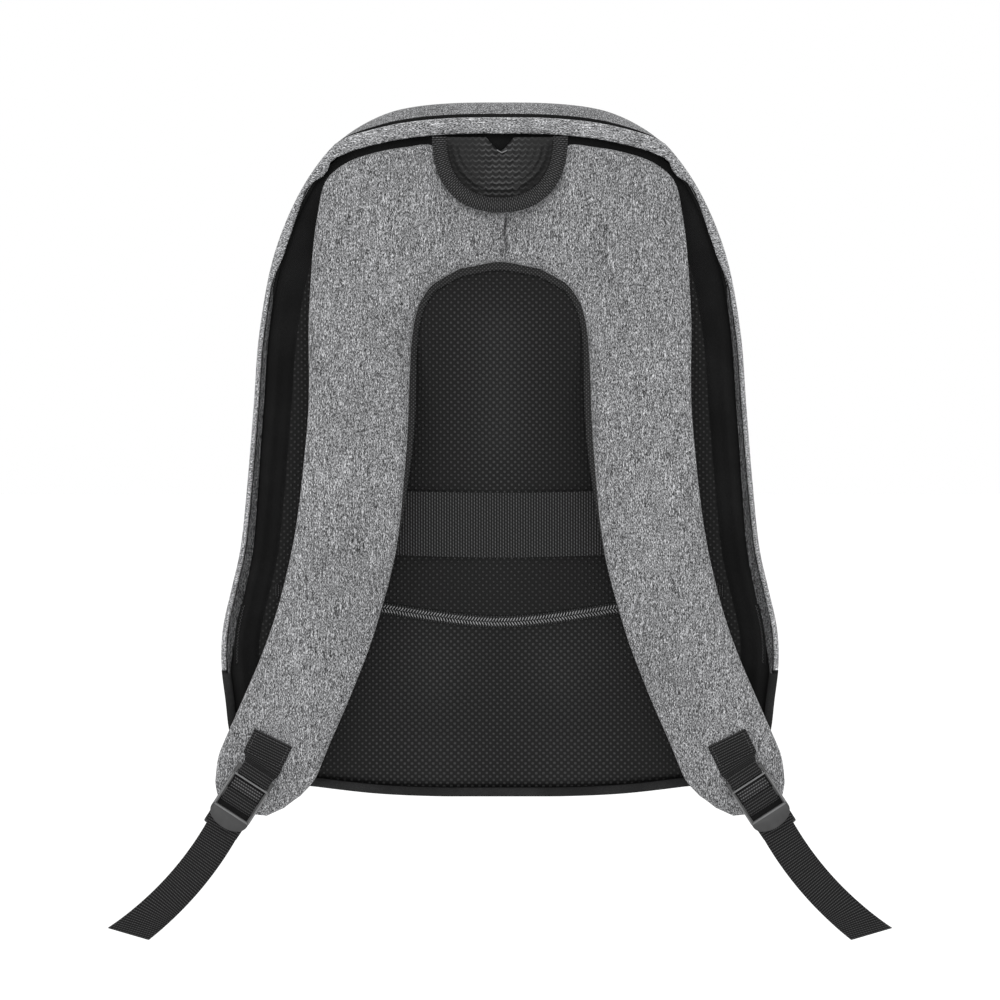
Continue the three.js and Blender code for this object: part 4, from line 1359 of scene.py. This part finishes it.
window = {"from": 0.0052, "to": 0.0116, "rise": 0.0006, "thick": 0.0010, "width": 0.0212,
          "gapThick": 0.0012}
# from, to, rise and width of the black strips painted as shade in the gaps above and below the window and in the
# slot
gapShades = [(0.0040, 0.0052, 0.0007, 0.0225), (0.0116, 0.0136, 0.0012, 0.0225), (0.0206, 0.0258, -0.0002, 0.0262)]


def flatBand(start, end, rise, width, thick):
    # a straight piece of band that lies along the lock
    return bandSkin([{"middle": onLock(along, rise), "across": lockAxes()[1], "width": width,
                      "thickness": thick, "facing": lockFacing} for along in np.linspace(start, end, 9)])


def makeWindowWebbing():
    # the webbing seen through the lock's window, coloured lighter as painted light, and black strips that paint
    # the shade in the gaps beside it
    shape = flatBand(window["from"], window["to"], window["rise"], window["width"], window["thick"])
    bothSides("WindowWebbing", shape, litWindowWebbing)
    parts = [flatBand(start, end, rise, wide, window["gapThick"])[:2] for start, end, rise, wide in gapShades]
    bothSides("WindowGaps", joined(parts), blackCloth)


softened = {"weld": 0.00002, "flat": math.radians(2), "sharp": math.radians(40), "bevel": 0.0005}
lockRim = {"wide": 0.0011, "rise": 0.0019, "thick": 0.0012, "from": 0.0031, "to": 0.0267}


def makeLockRim():
    # a thin raised edge around the lock's window, coloured light grey as a painted highlight on the lock's edges
    half = lock["width"] / 2 - lockRim["wide"] / 2
    corners = [(lockRim["to"], -half), (lockRim["from"], -half), (lockRim["from"], half), (lockRim["to"], half),
               (lockRim["to"], -half)]
    parts = []
    for (a0, b0), (a1, b1) in zip(corners, corners[1:]):
        start, end = onLock(a0, lockRim["rise"], b0), onLock(a1, lockRim["rise"], b1)
        way = unit(end - start)
        stations = [{"middle": mix(start, end, share), "across": np.cross(way, lockFacing), "facing": lockFacing,
                     "width": lockRim["wide"], "thickness": lockRim["thick"]} for share in np.linspace(0, 1, 5)]
        parts.append(bandSkin(stations)[:2])
    bothSides("LockRim", joined(parts), edgeHighlightPlastic)


def makeLock():
    # the lock keeps the shape of its node, with softened edges
    for side in ("left", "right"):
        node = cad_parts[f"{side}_ladder_lock"]
        mesh = node.data.copy()
        mesh.materials.clear()
        build = bmesh.new()
        build.from_mesh(mesh)
        bmesh.ops.remove_doubles(build, verts=build.verts, dist=softened["weld"])
        bmesh.ops.dissolve_limit(build, angle_limit=softened["flat"], verts=build.verts, edges=build.edges)
        edges = [e for e in build.edges if len(e.link_faces) == 2 and e.calc_face_angle(0) > softened["sharp"]]
        bmesh.ops.bevel(build, geom=edges, offset=softened["bevel"], segments=3, affect="EDGES", profile=0.5)
        build.to_mesh(mesh)
        build.free()
        addPiece(f"{side}LadderLock", mesh, lockPlastic, [f"{side}_ladder_lock"], 35)


makePatch()
makeAdjuster()
makeLock()
makeLockRim()
makeWindowWebbing()
print("strap ends made")


# Camera, light, floor

view = {"away": 5.0, "tilt": math.radians(2.5), "sensor": 0.036}


def makeCamera():
    wide = photo["side"] * photo["pixel"]
    aim = Vector((0, 0, atRow(photo["side"] / 2)))
    data = bpy.data.cameras.new("camera")
    data.sensor_width = view["sensor"] * 1000
    data.lens = view["sensor"] * 1000 * view["away"] / wide
    data.clip_end = 50
    camera = bpy.data.objects.new("camera", data)
    bpy.context.scene.collection.objects.link(camera)
    back = Vector((0, -math.cos(view["tilt"]), math.sin(view["tilt"])))
    camera.location = aim + back * view["away"]
    camera.rotation_euler = (-back).to_track_quat("-Z", "Y").to_euler()
    bpy.context.scene.camera = camera


floorLook = {"side": 9.0, "level": -0.62, "tone": 0.93, "rough": 0.95, "glow": 0.12}


def makeStage():
    side, floorZ, tone = floorLook["side"], floorLook["level"], floorLook["tone"]
    points = [(-side, -side, floorZ), (side, -side, floorZ), (side, side, floorZ), (-side, side, floorZ)]
    material = bpy.data.materials.new("paleFloor")
    material.use_nodes = True
    shader = material.node_tree.nodes["Principled BSDF"]
    shader.inputs["Base Color"].default_value = (tone, tone, tone, 1)
    shader.inputs["Roughness"].default_value = floorLook["rough"]
    shader.inputs["Emission Color"].default_value = (1, 1, 1, 1)
    shader.inputs["Emission Strength"].default_value = floorLook["glow"]
    mesh = newMesh("floor", points, [(0, 1, 2, 3)])
    mesh.materials.append(material)
    floor = bpy.data.objects.new("floor", mesh)
    bpy.context.scene.collection.objects.link(floor)


lamps = [  # name, place, size and watts
    ("keyLight", (-1.5, -2.4, 1.9), 0.9, 14),
    ("frontLight", (0.0, -6.2, 0.1), 0.9, 44),
    ("rearLight", (1.4, 2.6, 1.6), 1.2, 10),
]
lampAimRow = 480


def makeLights():
    aim = Vector((0, 0, atRow(lampAimRow)))
    for name, spot, size, power in lamps:
        data = bpy.data.lights.new(name, "AREA")
        data.shape = "SQUARE"
        data.size = size
        data.energy = power
        lamp = bpy.data.objects.new(name, data)
        bpy.context.scene.collection.objects.link(lamp)
        lamp.location = spot
        lamp.rotation_euler = (aim - Vector(spot)).to_track_quat("-Z", "Y").to_euler()
    world = bpy.data.worlds.new("studio")
    bpy.context.scene.world = world
    world.use_nodes = True
    world.node_tree.nodes["Background"].inputs["Color"].default_value = (1, 1, 1, 1)
    world.node_tree.nodes["Background"].inputs["Strength"].default_value = 1.0


makeCamera()
makeStage()
makeLights()
bpy.context.scene.view_settings.view_transform = "Standard"
print("camera and light made")
